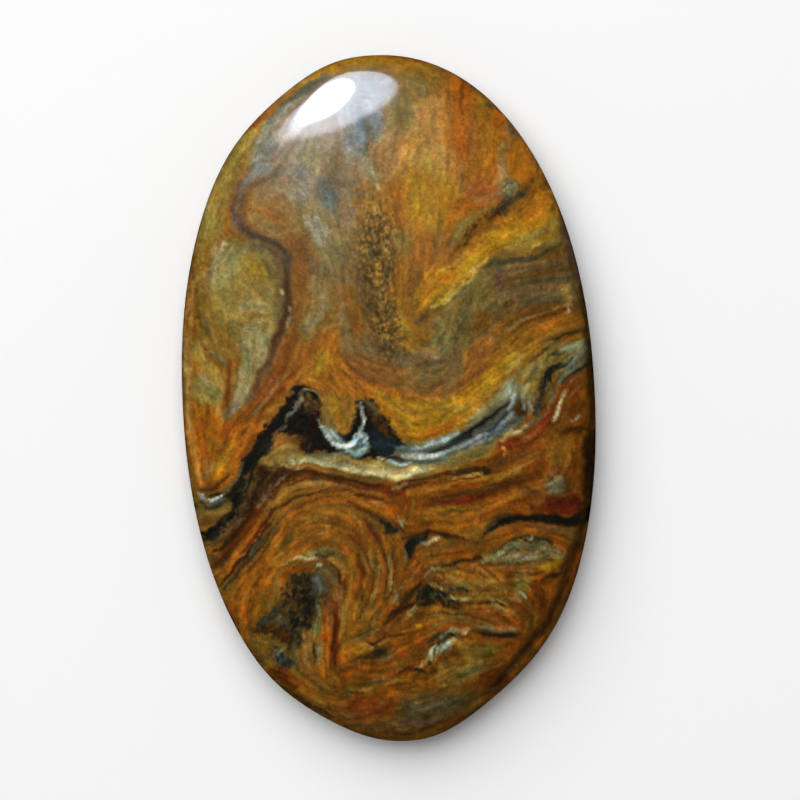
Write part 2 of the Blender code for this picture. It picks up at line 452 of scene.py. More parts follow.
UPPER_LEFT = [
    vein("straw", 1.08, 7, (7, 10, 10, 8), 247, 140, 229, 170, 213, 205, 202, 245),
    vein("olive", 1.1, 5, (2, 4, 4, 3), 240, 168, 229, 188, 222, 208, 218, 232),
    vein("brick", 0.98, 2, (1.5, 3, 3, 1.5), 243, 131, 256, 122, 266, 112, 276, 102),
    # Tan band along the upper left edge: partly stone colour, partly a painted pale reflection on the steep
    # edge
    vein("tan", 0.93, 3, (2, 3.5, 3.5, 3), 268, 113, 284, 96, 300, 83, 318, 72),
    vein("slate", 1.08, 3, (3, 4, 4, 3.5, 2), 262, 128, 278, 113, 294, 99, 312, 86, 330, 77),
    vein("gold", 0.98, 4, (3, 5, 5.5, 5, 4), 312, 76, 334, 68, 358, 62, 385, 61, 410, 64),
    vein("khaki", 1.05, 4, 4, 350, 69, 372, 68, 395, 70),
    vein("toffee", 1.15, 2.5, (1, 2, 2), 376, 57, 400, 58, 424, 63),
    # Slate under the mirrored window: partly stone colour, partly a painted bluish tint of the reflection
    # that lies over it
    patch("slate", 1, 8, 300, 100, 330, 80, 370, 72, 400, 85, 396, 104, 370, 112, 340, 122, 300, 136,
        284, 132, strength=0.8),
    vein("sage", 1, 5, (4, 5, 5, 4), 263, 128, 257, 142, 255, 158, 251, 172),
    # Painted reflection: a pale grey-blue haze running down to the left from the end of the window's
    # reflection
    vein("slate", 1.35, 5, (3, 5, 5, 4), 284, 112, 273, 124, 267, 138, 262, 150),
    patch("mushroom", 1.02, 8, 262, 142, 278, 136, 296, 145, 292, 168, 276, 186, 256, 184, 254, 160),
    vein("plum", 1.15, 3, 2.2, 263, 146, 269, 150, 277, 148, 275, 157, 268, 163),
    vein("ash", 0.95, 3, (2, 3, 2), 281, 142, 277, 154, 268, 160, strength=0.5),
    patch("grey", 1.12, 5, 257, 163, 268, 161, 275, 170, 268, 181, 257, 179, strength=0.8),
    vein("plum", 1.1, 3, 2, 280, 168, 272, 178, 262, 184, 250, 189, strength=0.8),
    patch("taupe", 1.18, 9, 256, 192, 270, 185, 290, 190, 300, 212, 297, 236, 276, 240, 258, 231, 248, 213),
    patch("tan", 0.93, 8, 254, 197, 266, 194, 278, 205, 276, 222, 262, 228, 251, 215, strength=0.75),
    vein("caramel", 1.08, 5, (3, 5, 6, 5), 265, 214, 277, 220, 288, 230, 295, 243, grain=0.5),
    vein("mauve", 1, 5, (2, 3.5, 3), 258, 196, 268, 193, 279, 197, strength=0.55),
    vein("plum", 1.02, 5, (3, 5, 6, 6, 5, 5, 5, 5), 254, 172, 245, 186, 238, 204, 240, 222, 249, 235,
        263, 241, 277, 247, 288, 262),
    vein("taupe", 1.1, 3, (2, 3, 3), 248, 180, 240, 196, 238, 212, strength=0.6),
    vein("moss", 1.05, 4, (1, 2.6, 3, 3, 3), 243, 226, 250, 235, 262, 241, 275, 246, 286, 256,
        strength=0.8),
    patch("mushroom", 0.98, 11, 283, 150, 300, 140, 316, 148, 322, 175, 314, 205, 296, 203, 284, 180),
    patch("sage", 1.05, 7, 304, 146, 322, 140, 330, 156, 320, 170, 306, 166, strength=0.5),
    vein("grey", 1.1, 5, (2, 4, 4, 3), 297, 166, 303, 182, 305, 198, 300, 212, strength=0.7),
    patch("mauve", 1, 6, 322, 136, 337, 132, 342, 146, 334, 158, 322, 154, strength=0.6),
    patch("steel", 1.05, 9, 346, 118, 368, 104, 386, 112, 382, 134, 374, 152, 360, 166, 348, 162, 344, 140,
        strength=0.85),
    vein("slate", 1.05, 5, (2, 4, 5, 3), 362, 118, 370, 132, 371, 146, 366, 158),
    vein("grey", 1.1, 4, (2, 3, 3), 349, 124, 351, 140, 356, 156, strength=0.7),
    patch("fawn", 1, 8, 338, 160, 360, 160, 368, 180, 350, 192, 336, 178, strength=0.8),
    vein("brown", 1.04, 6, (3, 7, 7, 4), 341, 150, 335, 163, 334, 174, 342, 185, grain=0.2),
    vein("fawn", 1, 4, (1.5, 3, 2), 338, 136, 336, 146, 334, 156),
    vein("plum", 0.92, 4, (3, 4, 3), 322, 186, 334, 183, 345, 186, grain=0.3),
    patch("slate", 1, 6, 321, 188, 334, 186, 343, 196, 341, 210, 332, 216, 323, 204),
    vein("steel", 0.95, 3.4, (1, 2, 1.4), 327, 190, 331, 199, 334, 208, strength=0.6),
    patch("taupe", 1.12, 8, 345, 184, 360, 178, 370, 192, 364, 212, 348, 208),
    patch("fawn", 1.02, 8, 364, 158, 380, 140, 394, 152, 392, 180, 382, 194, 370, 186),
    vein("lichen", 1.08, 5, (1.5, 3.5, 3.5, 1.5), 369, 164, 373, 176, 378, 187, 381, 197),
    vein("khaki", 0.92, 5, (3, 5, 4), 371, 196, 370, 212, 374, 228, grain=0.4),
    patch("olive", 1.08, 10, 292, 214, 312, 208, 334, 222, 350, 240, 352, 262, 326, 268, 306, 250),
    patch("grey", 1.1, 6, 309, 224, 318, 220, 328, 232, 326, 244, 316, 246, 310, 238, strength=0.8),
    vein("grey", 1, 6, (2, 3.5, 3), 330, 244, 338, 253, 346, 260, strength=0.4),
    patch("mauve", 1, 6, 343, 214, 356, 210, 366, 220, 358, 232, 346, 228, strength=0.45),
    vein("rust", 0.95, 5, (2, 4, 5, 4), 297, 240, 301, 254, 303, 270, 300, 286, strength=0.4),
    vein("brick", 1.15, 6, (3, 4, 3), 400, 136, 396, 150, 391, 165, strength=0.5),
    patch("grey", 1.25, 14, 292, 150, 320, 132, 350, 140, 372, 158, 366, 190, 350, 225, 334, 250, 312, 235,
        294, 205, 284, 175, strength=0.26),
    # Painted reflection tint: bluish grey under the lavender part of the window's reflection, so that the
    # reflection reads lavender
    patch("steel", 1.15, 5, 340, 84, 356, 78, 374, 76, 388, 83, 392, 94, 378, 107, 354, 114, 330, 118,
        strength=0.75),
    # Painted reflection: pale grey haze beside the left end of the window's reflection
    vein("grey", 1.2, 4, (1.5, 4, 5, 4, 2), 258, 146, 266, 132, 277, 119, 290, 107, 304, 98, strength=0.7),
    vein("grey", 1.02, 5, (3, 6, 7, 6, 4, 2), 276, 134, 270, 148, 264, 162, 257, 174, 248, 184, 241, 194,
        strength=0.75),
    vein("drab", 0.9, 2.4, (0.8, 1.8, 1), 258, 158, 266, 154, 274, 153, strength=0.5),
    vein("drab", 0.9, 2.4, (0.8, 1.8, 1), 254, 168, 262, 164, 270, 163, strength=0.5),
    vein("ash", 1, 2.6, (0.8, 2, 1), 257, 163, 264, 159, 272, 158, strength=0.4),
    vein("peat", 1.15, 3, (0.8, 1.8, 1.8, 1), 280, 166, 274, 176, 264, 183, 252, 188, strength=0.6),
    vein("fawn", 1.06, 6, (2, 5, 6, 4), 248, 196, 262, 193, 280, 200, 292, 214, strength=0.55),
    vein("orange", 1, 4, (1.5, 3, 2.5), 256, 209, 266, 213, 276, 222, strength=0.5, grain=0.4),
]

UPPER_RIGHT = [
    patch("tan", 1.04, 14, 392, 136, 430, 118, 450, 140, 456, 180, 440, 200, 410, 190, 390, 164),
    patch("honey", 1.04, 12, 408, 148, 430, 140, 440, 160, 430, 182, 412, 172, strength=0.7),
    patch("tan", 1.06, 10, 424, 96, 440, 92, 452, 108, 450, 132, 430, 140, 416, 124),
    patch("khaki", 0.98, 8, 400, 76, 430, 68, 446, 76, 440, 92, 420, 104, 398, 104),
    patch("olive", 1.08, 8, 390, 104, 405, 100, 414, 116, 408, 134, 394, 134),
    vein("lichen", 1, 4, (1.5, 3, 2), 412, 84, 420, 90, 424, 98, strength=0.8),
    vein("umber", 1, 1.8, 1, 426, 98, 430, 99, strength=0.7),
    vein("drab", 1, 3, (1.5, 2.5, 2), 398, 108, 399, 120, 403, 130, strength=0.6, grain=0.4),
    patch("gold", 1.06, 12, 392, 184, 415, 172, 440, 178, 458, 196, 456, 222, 436, 236, 412, 234, 396, 214),
    patch("bright_gold", 1.06, 7, 408, 186, 420, 184, 427, 198, 420, 214, 408, 210),
    vein("amber", 1.2, 5, (3, 5, 5, 3), 429, 184, 433, 200, 432, 216, 427, 230, strength=0.6),
    vein("orange", 1, 6, (5, 8, 8, 4), 392, 186, 395, 202, 397, 216, 402, 230),
    vein("fawn", 1.08, 7, (3, 5, 5, 3), 397, 132, 393, 150, 390, 166, 388, 180),
    patch("rust", 1.18, 8, 448, 82, 462, 74, 476, 90, 474, 120, 466, 152, 452, 140, 446, 112),
    vein("chestnut", 1, 2.4, (1, 2, 1.6, 1), 463, 78, 462, 90, 460, 102, 463, 116, strength=0.75),
    vein("brick", 0.92, 4, (3, 4, 3), 468, 84, 480, 92, 490, 102),
    vein("brick", 1.05, 3, (1.5, 2.5, 2.5, 1.5), 470, 104, 471, 124, 472, 144, 469, 164),
    patch("amber", 1.08, 7, 476, 98, 486, 98, 492, 114, 490, 140, 484, 160, 478, 138),
    vein("moss", 1.3, 2.5, 1.6, 489, 105, 494, 109),
    patch("rust", 1.22, 6, 492, 112, 502, 112, 510, 126, 504, 142, 494, 134),
    vein("orange", 0.98, 4, (3, 4, 3), 488, 142, 488, 156, 485, 168),
    vein("plum", 1.2, 4, (2, 3, 2), 507, 124, 512, 132, 517, 140),
    patch("orange", 1.05, 8, 510, 140, 524, 144, 537, 160, 545, 182, 525, 184, 510, 170),
    vein("taupe", 1.1, 3.4, (1, 2.5, 2.5, 2), 509, 138, 506, 150, 503, 162, 505, 174, strength=0.8),
    vein("sand", 0.9, 2.4, (0.8, 1.6, 1.6, 0.8), 506, 134, 502, 144, 498, 154, 495, 163, strength=0.7),
    vein("blush", 1.02, 4, (2, 4, 3), 499, 164, 502, 173, 497, 182, strength=0.7),
    patch("brick", 1.15, 8, 464, 182, 484, 176, 500, 184, 500, 200, 482, 207, 464, 198, grain=0.35),
    vein("blush", 1, 4, (1.5, 3, 2.5), 470, 200, 486, 199, 500, 193, strength=0.5),
    vein("taupe", 1.1, 5, (2, 3, 2), 460, 164, 462, 178, 459, 194, strength=0.5),
    patch("rust", 1.2, 7, 452, 202, 466, 198, 474, 206, 462, 224, 449, 236, 446, 220, grain=0.3),
    patch("gold", 1.08, 5, 543, 192, 556, 206, 561, 225, 557, 244, 540, 251, 520, 255, 500, 259, 482, 264,
        466, 278, 448, 294, 438, 286, 450, 266, 468, 249, 488, 235, 508, 225, 525, 210),
    vein("orange", 1.06, 6, (3, 6, 5), 546, 196, 537, 208, 524, 222),
    vein("straw", 1.06, 5, (3, 5, 5, 4), 556, 216, 549, 230, 530, 240, 508, 247),
    vein("olive", 1.1, 3, (2, 3, 3, 2), 559, 214, 560, 232, 554, 244, 540, 250),
    vein("bright_gold", 1.04, 4, (2, 3.5, 3.5, 3), 532, 224, 512, 231, 494, 240, 476, 252),
    vein("olive", 1, 3, (1.5, 2.6, 2.6, 2), 548, 249, 522, 252, 502, 255, 484, 262),
    vein("honey", 1.1, 1.8, 1.6, 529, 252, 534, 248, 538, 247),
    patch("slate", 1, 4, 502, 184, 512, 180, 520, 186, 525, 196, 516, 206, 505, 200, grain=0.5),
    patch("lichen", 1.12, 4, 503, 184, 512, 182, 518, 190, 514, 200, 506, 196, strength=0.8, grain=0.7),
    vein("moss", 1.1, 4.5, (1, 3, 3.6, 4), 533, 181, 525, 191, 516, 201, 504, 209, fray=2, grain=0.35),
    vein("midnight", 1.05, 4.5, (2, 4, 3.6, 2), 513, 200, 508, 205, 501, 209, 494, 213, fray=2,
        strength=0.9),
    vein("umber", 1.25, 4, (4, 5, 5, 4, 3), 501, 212, 490, 218, 480, 223, 472, 229, 464, 236, grain=0.8),
    vein("olive", 1, 4, (2, 3.5, 4, 3), 494, 208, 482, 212, 470, 220, 460, 230, grain=0.6),
    patch("olive", 1.02, 4, 458, 226, 468, 228, 460, 244, 453, 258, 446, 254, 448, 240, grain=0.3),
    vein("umber", 1.25, 4, (1, 3, 3, 1), 471, 231, 466, 238, 461, 245, 455, 252, fray=2, grain=0.5),
    vein("sage", 1, 2.5, (1, 1.8, 1.4), 462, 226, 455, 238, 450, 250, strength=0.6, grain=0.5),
    # Dark band just inside the right edge: partly stone colour, partly painted shade where the edge turns
    # away from the light
    vein("plum", 1, 4, (2, 4.5, 5, 4), 560, 206, 567, 232, 573, 260, 578, 285),
    vein("taupe", 0.98, 3, (1.5, 2.5, 2), 562, 246, 568, 268, 572, 292),
]

OLIVE_LOBE = [
    patch("olive", 1.14, 8, 218, 240, 240, 240, 262, 248, 278, 262, 283, 290, 282, 325, 274, 350, 262, 378,
        250, 398, 238, 412, 228, 416, 232, 390, 226, 360, 212, 335, 205, 300, 207, 262),
    vein("khaki", 1, 6, (4, 6, 6, 4), 204, 245, 199, 275, 199, 310, 205, 335),
    vein("walnut", 1, 4, (1, 2, 2, 1.5), 202, 262, 198, 290, 199, 316, 204, 330, grain=0.6),
    patch("straw", 1.04, 9, 224, 254, 262, 254, 274, 270, 270, 292, 245, 292, 222, 282),
    patch("yellow", 0.86, 7, 244, 258, 256, 258, 265, 268, 262, 280, 248, 276, strength=0.8),
    vein("mushroom", 1.02, 4, (2, 4, 4, 2.5), 221, 246, 217, 258, 214, 270, 210, 286),
    vein("slate", 1.05, 5, (1.5, 4, 4, 3), 250, 246, 264, 250, 275, 260, 279, 276, strength=0.8),
    vein("sage", 1.1, 3, (1, 2.5, 2), 266, 254, 273, 263, 277, 274, strength=0.7),
    patch("olive", 1.16, 9, 228, 298, 262, 294, 276, 300, 274, 322, 250, 330, 232, 318, strength=0.7),
    vein("lichen", 1, 4, (2, 4, 4, 2), 234, 302, 246, 306, 258, 305, 270, 309, strength=0.6),
    vein("straw", 0.98, 6, (2, 5, 5, 3), 215, 300, 220, 318, 230, 334, 234, 350, strength=0.7),
    patch("lichen", 1.02, 7, 216, 262, 232, 250, 246, 250, 240, 270, 226, 290, 215, 290, strength=0.5),
    vein("sage", 1.04, 2.5, (1, 1.8, 1), 238, 310, 252, 308, 268, 311, strength=0.6),
    vein("olive", 0.9, 2.2, (1, 1.6, 1), 240, 318, 254, 317, 270, 318, strength=0.6),
    patch("lichen", 1.04, 7, 246, 332, 262, 328, 270, 342, 263, 362, 253, 382, 244, 400, 238, 392,
        243, 362),
    patch("honey", 0.95, 5, 247, 342, 256, 342, 258, 358, 250, 366, 244, 356, strength=0.6),
    patch("khaki", 1.02, 7, 212, 318, 235, 324, 242, 346, 238, 372, 226, 352, 212, 338, grain=0.2),
    patch("straw", 1, 8, 206, 295, 230, 290, 240, 308, 225, 316, 208, 313),
    vein("sand", 1, 2.5, (1, 2, 1.6, 1), 246, 342, 251, 349, 254, 357, 256, 363, strength=0.5),
    vein("cream", 1.02, 1.8, 1.8, 222, 247, 225, 244),
    vein("sand", 1, 1.6, 1, 227, 245, 234, 242, strength=0.6),
    vein("blush", 1, 1.8, 1.4, 239, 309, 241, 310, strength=0.7),
    vein("blush", 1, 1.8, 1.5, 238, 324, 240, 324),
    vein("blush", 1.06, 1.8, 1.6, 211, 351, 214, 352),
    vein("drab", 0.95, 4, (1.5, 3, 2.5), 204, 314, 208, 326, 213, 339),
    vein("taupe", 1.02, 4, (1.5, 3, 2.5), 211, 352, 218, 358, 226, 366),
    patch("honey", 0.92, 8, 190, 345, 205, 343, 213, 365, 223, 374, 226, 396, 212, 405, 195, 400, 188, 375),
    vein("olive", 1.1, 5, (2, 5, 5, 3), 192, 388, 202, 388, 215, 392, 224, 396),
    vein("orange", 0.92, 4, (2, 4, 3), 193, 358, 198, 366, 195, 374, grain=0.3),
    vein("blush", 1, 3, (1.5, 2.5, 2), 201, 374, 206, 379, 209, 384, strength=0.6),
    vein("orange", 0.92, 6, (3, 5, 4), 190, 318, 187, 332, 187, 348),
    vein("chestnut", 1.08, 3, (1.5, 2.6, 2.8, 2), 230, 362, 232, 377, 229, 392, 227, 405),
    vein("caramel", 1.05, 4, (2, 3, 2), 237, 345, 238, 365, 236, 385, strength=0.8),
    vein("mauve", 0.95, 3.5, (1, 2.6, 3, 2), 244, 396, 238, 402, 233, 408, 229, 415),
    vein("drab", 0.95, 2.5, (1, 2, 1.6), 232, 400, 229, 408, 227, 416),
    vein("plum", 0.98, 5, (4, 5, 5.5, 5, 4.5, 4.5, 4, 3), 284, 256, 288, 280, 289, 300, 286, 322, 279, 343,
        271, 362, 261, 382, 250, 402),
    vein("caramel", 0.98, 4, (2, 3, 3, 3, 2), 294, 262, 297, 285, 298, 304, 295, 324, 288, 344),
    vein("umber", 1.5, 3, (1, 2.2, 2.6, 2.2, 2.2, 2.4, 1.8, 1), 286, 272, 289, 286, 290, 300, 286, 317,
        281, 334, 273, 353, 264, 371, 254, 390, grain=0.25),
    vein("mauve", 0.8, 3, (1, 2, 1.4), 284, 260, 287, 272, 288, 284, strength=0.4),
    vein("peat", 0.8, 4, (1, 3, 3.4, 3, 3, 2.4, 1.4), 250, 237, 268, 243, 283, 254, 288, 276, 288, 300,
        284, 324, 274, 350, strength=0.45),
    vein("drab", 0.92, 4, (2, 4.5, 5, 4, 2), 262, 248, 275, 257, 280, 274, 281, 296, 277, 318,
        strength=0.5),
    vein("tan", 0.95, 1.8, (0.8, 1.4, 1.4, 1), 296, 322, 291, 336, 285, 350, 278, 363),
    vein("cream", 0.9, 1.5, 1, 284, 291, 285, 294, strength=0.75),
    vein("cream", 0.85, 1.5, 1.1, 290, 309, 290, 313, strength=0.75),
    vein("mauve", 1, 1.5, 0.9, 290, 318, 289, 326, strength=0.7),
]

RUST_BANDS = [
    patch("caramel", 0.96, 6, 294, 238, 307, 238, 311, 262, 309, 290, 304, 320, 297, 340, 299, 300,
        296, 265),
    vein("brick", 0.9, 5, (1.5, 3.4, 3), 303, 244, 304, 260, 303, 276, strength=0.8),
    vein("caramel", 1.05, 4, (2, 4, 4, 3), 300, 284, 299, 300, 298, 315, 292, 330),
    vein("russet", 1.08, 5, (4, 6, 7, 7, 6, 5), 296, 337, 288, 353, 280, 370, 270, 388, 258, 404, 240, 420),
    vein("brick", 0.88, 3.5, (2, 4, 4), 276, 376, 268, 390, 256, 404),
    vein("fawn", 1, 2.6, (1, 2.2, 2, 1), 288, 372, 277, 388, 266, 402, 256, 414),
    vein("chestnut", 1.05, 2.4, (1, 2, 2, 1), 293, 372, 282, 390, 270, 406, 258, 420),
    patch("olive", 1.05, 6, 314, 286, 328, 284, 336, 295, 332, 310, 323, 326, 313, 341, 304, 343, 304, 325,
        310, 305),
    vein("mushroom", 0.95, 4, (1.5, 3, 3, 2), 321, 290, 322, 304, 318, 318, 310, 332, strength=0.7),
    vein("khaki", 0.95, 2.6, (1, 2, 2, 1.5), 333, 298, 337, 312, 329, 324, 320, 335),
    vein("bronze", 0.95, 2.2, (1, 2.4, 1.5), 341, 318, 336, 321, 331, 322),
    vein("taupe", 1, 6, (3, 5, 5), 312, 256, 316, 270, 314, 288),
    patch("taupe", 1.05, 8, 316, 262, 340, 258, 352, 275, 354, 300, 356, 330, 347, 347, 339, 330, 338, 300,
        328, 284, 318, 281),
    vein("walnut", 1.18, 5, (2, 4, 4, 3), 346, 288, 351, 308, 355, 326, 358, 342),
    patch("brown", 1.06, 9, 364, 238, 380, 208, 398, 214, 396, 240, 396, 280, 404, 316, 410, 346, 384, 352,
        372, 322, 366, 280, strength=0.85),
    vein("drab", 0.98, 4, (4, 6, 6.5, 6.5, 6), 356, 236, 360, 255, 363, 280, 367, 305, 374, 332),
    vein("mauve", 0.85, 3, (1, 2, 2.4, 2), 353, 240, 357, 262, 359, 284, 364, 306, strength=0.45),
    patch("amber", 1.08, 7, 360, 184, 384, 188, 400, 222, 396, 250, 398, 290, 410, 318, 416, 346, 384, 352,
        370, 318, 360, 276, 354, 226, grain=1),
    patch("ink", 1.7, 6, 362, 222, 380, 214, 396, 250, 400, 290, 410, 330, 404, 352, 382, 356, 368, 306,
        358, 262, strength=0.5, grain=1),
    patch("honey", 0.94, 7, 362, 205, 380, 198, 396, 226, 396, 262, 400, 300, 412, 330, 404, 352, 382, 340,
        368, 300, 360, 250, strength=0.7, grain=1),
    patch("moss", 1, 6, 358, 230, 376, 216, 392, 240, 396, 280, 406, 318, 414, 348, 388, 358, 368, 320,
        358, 280, strength=0.5, grain=1),
    vein("amber", 1.05, 5, (4, 6, 6, 4), 402, 252, 401, 270, 402, 288, 404, 304),
    vein("umber", 1.4, 2.6, (1, 1.8, 1.8, 1), 412, 258, 410, 274, 409, 290, 411, 302, grain=0.5),
    patch("bronze", 1.14, 6, 398, 300, 410, 304, 418, 322, 428, 340, 418, 350, 404, 336, grain=0.4),
    patch("gold", 0.95, 8, 392, 296, 406, 300, 416, 320, 430, 336, 418, 346, 402, 338, grain=1),
    patch("orange", 1.02, 6, 318, 345, 328, 333, 341, 338, 345, 360, 353, 380, 375, 390, 400, 398, 400, 414,
        370, 406, 345, 407, 325, 402, 305, 390, 298, 375, 308, 360),
    patch("bright_gold", 0.95, 5, 317, 352, 328, 348, 334, 362, 326, 373, 314, 374),
    vein("rust", 0.98, 3.5, (1, 3, 3, 2), 296, 345, 302, 360, 296, 372, 288, 382),
    vein("rust", 0.95, 3, (1.5, 3, 2), 320, 338, 313, 352, 304, 368),
    vein("amber", 1, 3, (2, 3, 3, 2), 296, 384, 310, 388, 322, 398, 330, 410),
    patch("taupe", 1.02, 6, 343, 336, 356, 337, 363, 350, 355, 361, 345, 356),
    vein("caramel", 0.95, 6, (3, 6, 7, 6), 352, 360, 368, 366, 385, 372, 402, 378),
    vein("brick", 0.92, 3, (1.5, 3, 3, 2), 345, 358, 352, 370, 368, 380, 386, 386),
]

GOLD_SWEEP = [
    patch("olive", 1.15, 6, 394, 232, 408, 230, 414, 244, 408, 258, 396, 254, grain=0.2),
    patch("caramel", 1.16, 9, 414, 238, 436, 230, 449, 246, 444, 264, 426, 276, 410, 262),
    vein("orange", 1, 4, (2, 4, 3), 424, 232, 427, 248, 424, 264, strength=0.6),
    vein("brown", 1, 3, (2, 3, 2), 434, 240, 436, 252, 432, 264, strength=0.5),
    patch("caramel", 1.08, 7, 412, 270, 428, 272, 424, 290, 414, 304, 408, 290, grain=0.3),
    patch("bright_gold", 1.04, 4.5, 414, 304, 424, 282, 440, 270, 455, 262, 470, 252, 484, 244, 482, 262,
        466, 279, 453, 292, 441, 303, 428, 309),
    vein("tan", 1.08, 2.4, (1, 1.8, 1.8, 1), 440, 272, 452, 265, 466, 256, 480, 247, strength=0.7),
    vein("orange", 1.12, 5, (3, 5, 5, 3), 424, 300, 432, 290, 444, 282, 454, 276),
    vein("yellow", 0.98, 4, (2, 4, 3), 458, 272, 467, 265, 478, 257),
    patch("olive", 0.98, 7, 480, 268, 500, 262, 520, 268, 510, 300, 490, 330, 470, 350, 448, 356, 440, 338,
        448, 316, 462, 292, grain=0.2),
    vein("sage", 0.84, 6, (2, 4, 5, 5, 4), 480, 272, 464, 290, 450, 308, 440, 326, 432, 346),
    vein("honey", 1.16, 1.5, (1, 1.7, 1.9, 1.9, 1.6, 0.8), 484, 260, 475, 270, 465, 282, 455, 292, 445, 301,
        431, 309, fray=0.5),
    vein("sage", 0.8, 2.2, (0.8, 1.8, 1.8, 1), 478, 273, 466, 287, 454, 298, 440, 309, fray=0.5,
        strength=0.7),
    patch("sage", 0.9, 7, 428, 336, 442, 331, 450, 343, 438, 358, 424, 354, strength=0.7),
    vein("mushroom", 0.9, 6, (2, 4, 3), 418, 352, 426, 358, 434, 360, strength=0.7),
    vein("moss", 1.1, 4, (1, 2.6, 3, 1.6), 411, 322, 417, 322, 422, 319, 427, 315, fray=2, strength=0.85),
    vein("amber", 1.08, 5, (2, 3, 3), 408, 306, 411, 322, 418, 336, strength=0.7),
    vein("orange", 0.95, 4, (2, 4, 4), 416, 334, 426, 340, 434, 332, strength=0.6, grain=0.4),
    patch("plum", 0.92, 6, 494, 270, 507, 270, 509, 282, 502, 292, 494, 288),
    patch("taupe", 0.92, 7, 505, 266, 540, 262, 566, 262, 578, 286, 572, 304, 540, 304, 512, 300),
    vein("moss", 1.25, 2.8, (1.2, 2.6, 3, 3, 2.6, 2, 1.4), 484, 268, 492, 264, 505, 261, 521, 261, 540, 257,
        554, 250, 560, 244),
    vein("fawn", 1, 2, (0.8, 1.4, 1), 506, 266, 524, 266, 544, 262, strength=0.6),
    vein("walnut", 1.04, 3, (1.5, 2.6, 2.6, 2), 574, 268, 550, 272, 528, 276, 508, 283),
    vein("moss", 1.3, 2.4, (1, 1.6, 1.6, 1), 572, 277, 550, 280, 530, 283, 512, 289, strength=0.7),
    vein("fawn", 0.95, 2.2, (1, 1.6, 1.6, 1), 570, 283, 548, 287, 524, 292, 500, 302, strength=0.6),
    vein("drab", 0.98, 3.5, (2, 3, 3, 3, 2), 578, 296, 552, 300, 525, 303, 500, 313, 478, 330, grain=0.25),
    vein("olive", 1.05, 4, (2, 3.5, 3), 486, 288, 478, 298, 474, 310, grain=0.3),
    vein("moss", 1.4, 4, (2, 4, 4, 3), 470, 296, 462, 310, 458, 326, 452, 340, grain=0.7),
    vein("walnut", 1.04, 2.6, (1.5, 2.5, 2.5, 2), 560, 306, 535, 310, 512, 318, 494, 330),
    vein("honey", 1, 4, (2.5, 4, 3), 562, 288, 568, 296, 570, 304, strength=0.7),
    patch("walnut", 1.05, 5, 476, 316, 487, 316, 490, 326, 484, 334, 475, 330),
    vein("olive", 1, 2, 1.4, 475, 322, 483, 319, 488, 326, 481, 331, strength=0.7),
    vein("olive", 1, 2.6, (1.5, 2.5, 2), 496, 320, 489, 332, 478, 342),
    vein("tan", 0.92, 1.5, (0.8, 1.3, 1.3, 1.1, 0.8), 500, 336, 513, 326, 533, 318, 553, 312, 567, 306,
        fray=0.5),
    vein("chestnut", 1.1, 2, (1, 1.8, 1.8, 1.5, 1), 572, 309, 556, 315, 537, 321, 518, 328, 504, 339),
    vein("blush", 1, 1.4, (0.6, 1.2, 0.6), 568, 306, 569, 311, 569, 317, fray=0.4),
    patch("caramel", 1.14, 8, 470, 345, 490, 334, 507, 331, 500, 350, 486, 368, 472, 381, 461, 366),
    vein("brick", 0.95, 2.5, (1.5, 2.5, 1.5), 472, 350, 480, 355, 489, 352, grain=0.5),
    patch("amber", 1.06, 5, 575, 317, 587, 323, 584, 338, 562, 345, 542, 352, 527, 362, 513, 373, 498, 386,
        480, 396, 465, 408, 468, 388, 483, 367, 500, 346, 520, 332, 545, 324),
    vein("orange", 1, 4, (3, 4, 3), 574, 322, 552, 327, 530, 336, strength=0.7),
    vein("gold", 1.1, 5, (3, 5, 6, 6), 528, 350, 510, 360, 496, 374, 482, 388),
    vein("honey", 1.04, 1.8, (0.8, 1.8, 2, 1.2), 488, 384, 497, 376, 506, 369, 517, 362),
    vein("tan", 1.05, 2.4, (1, 2, 1.5), 508, 364, 516, 359, 524, 355),
    vein("olive", 0.85, 3, (1.5, 2.5, 2.5), 584, 330, 562, 336, 546, 344),
    vein("umber", 1.3, 2.2, (1, 1.6, 2, 2, 1), 580, 333, 560, 338, 546, 348, 535, 357, 526, 368),
    patch("olive", 1.08, 5, 545, 350, 560, 344, 566, 356, 552, 368, 536, 374, 528, 382, 532, 366),
]

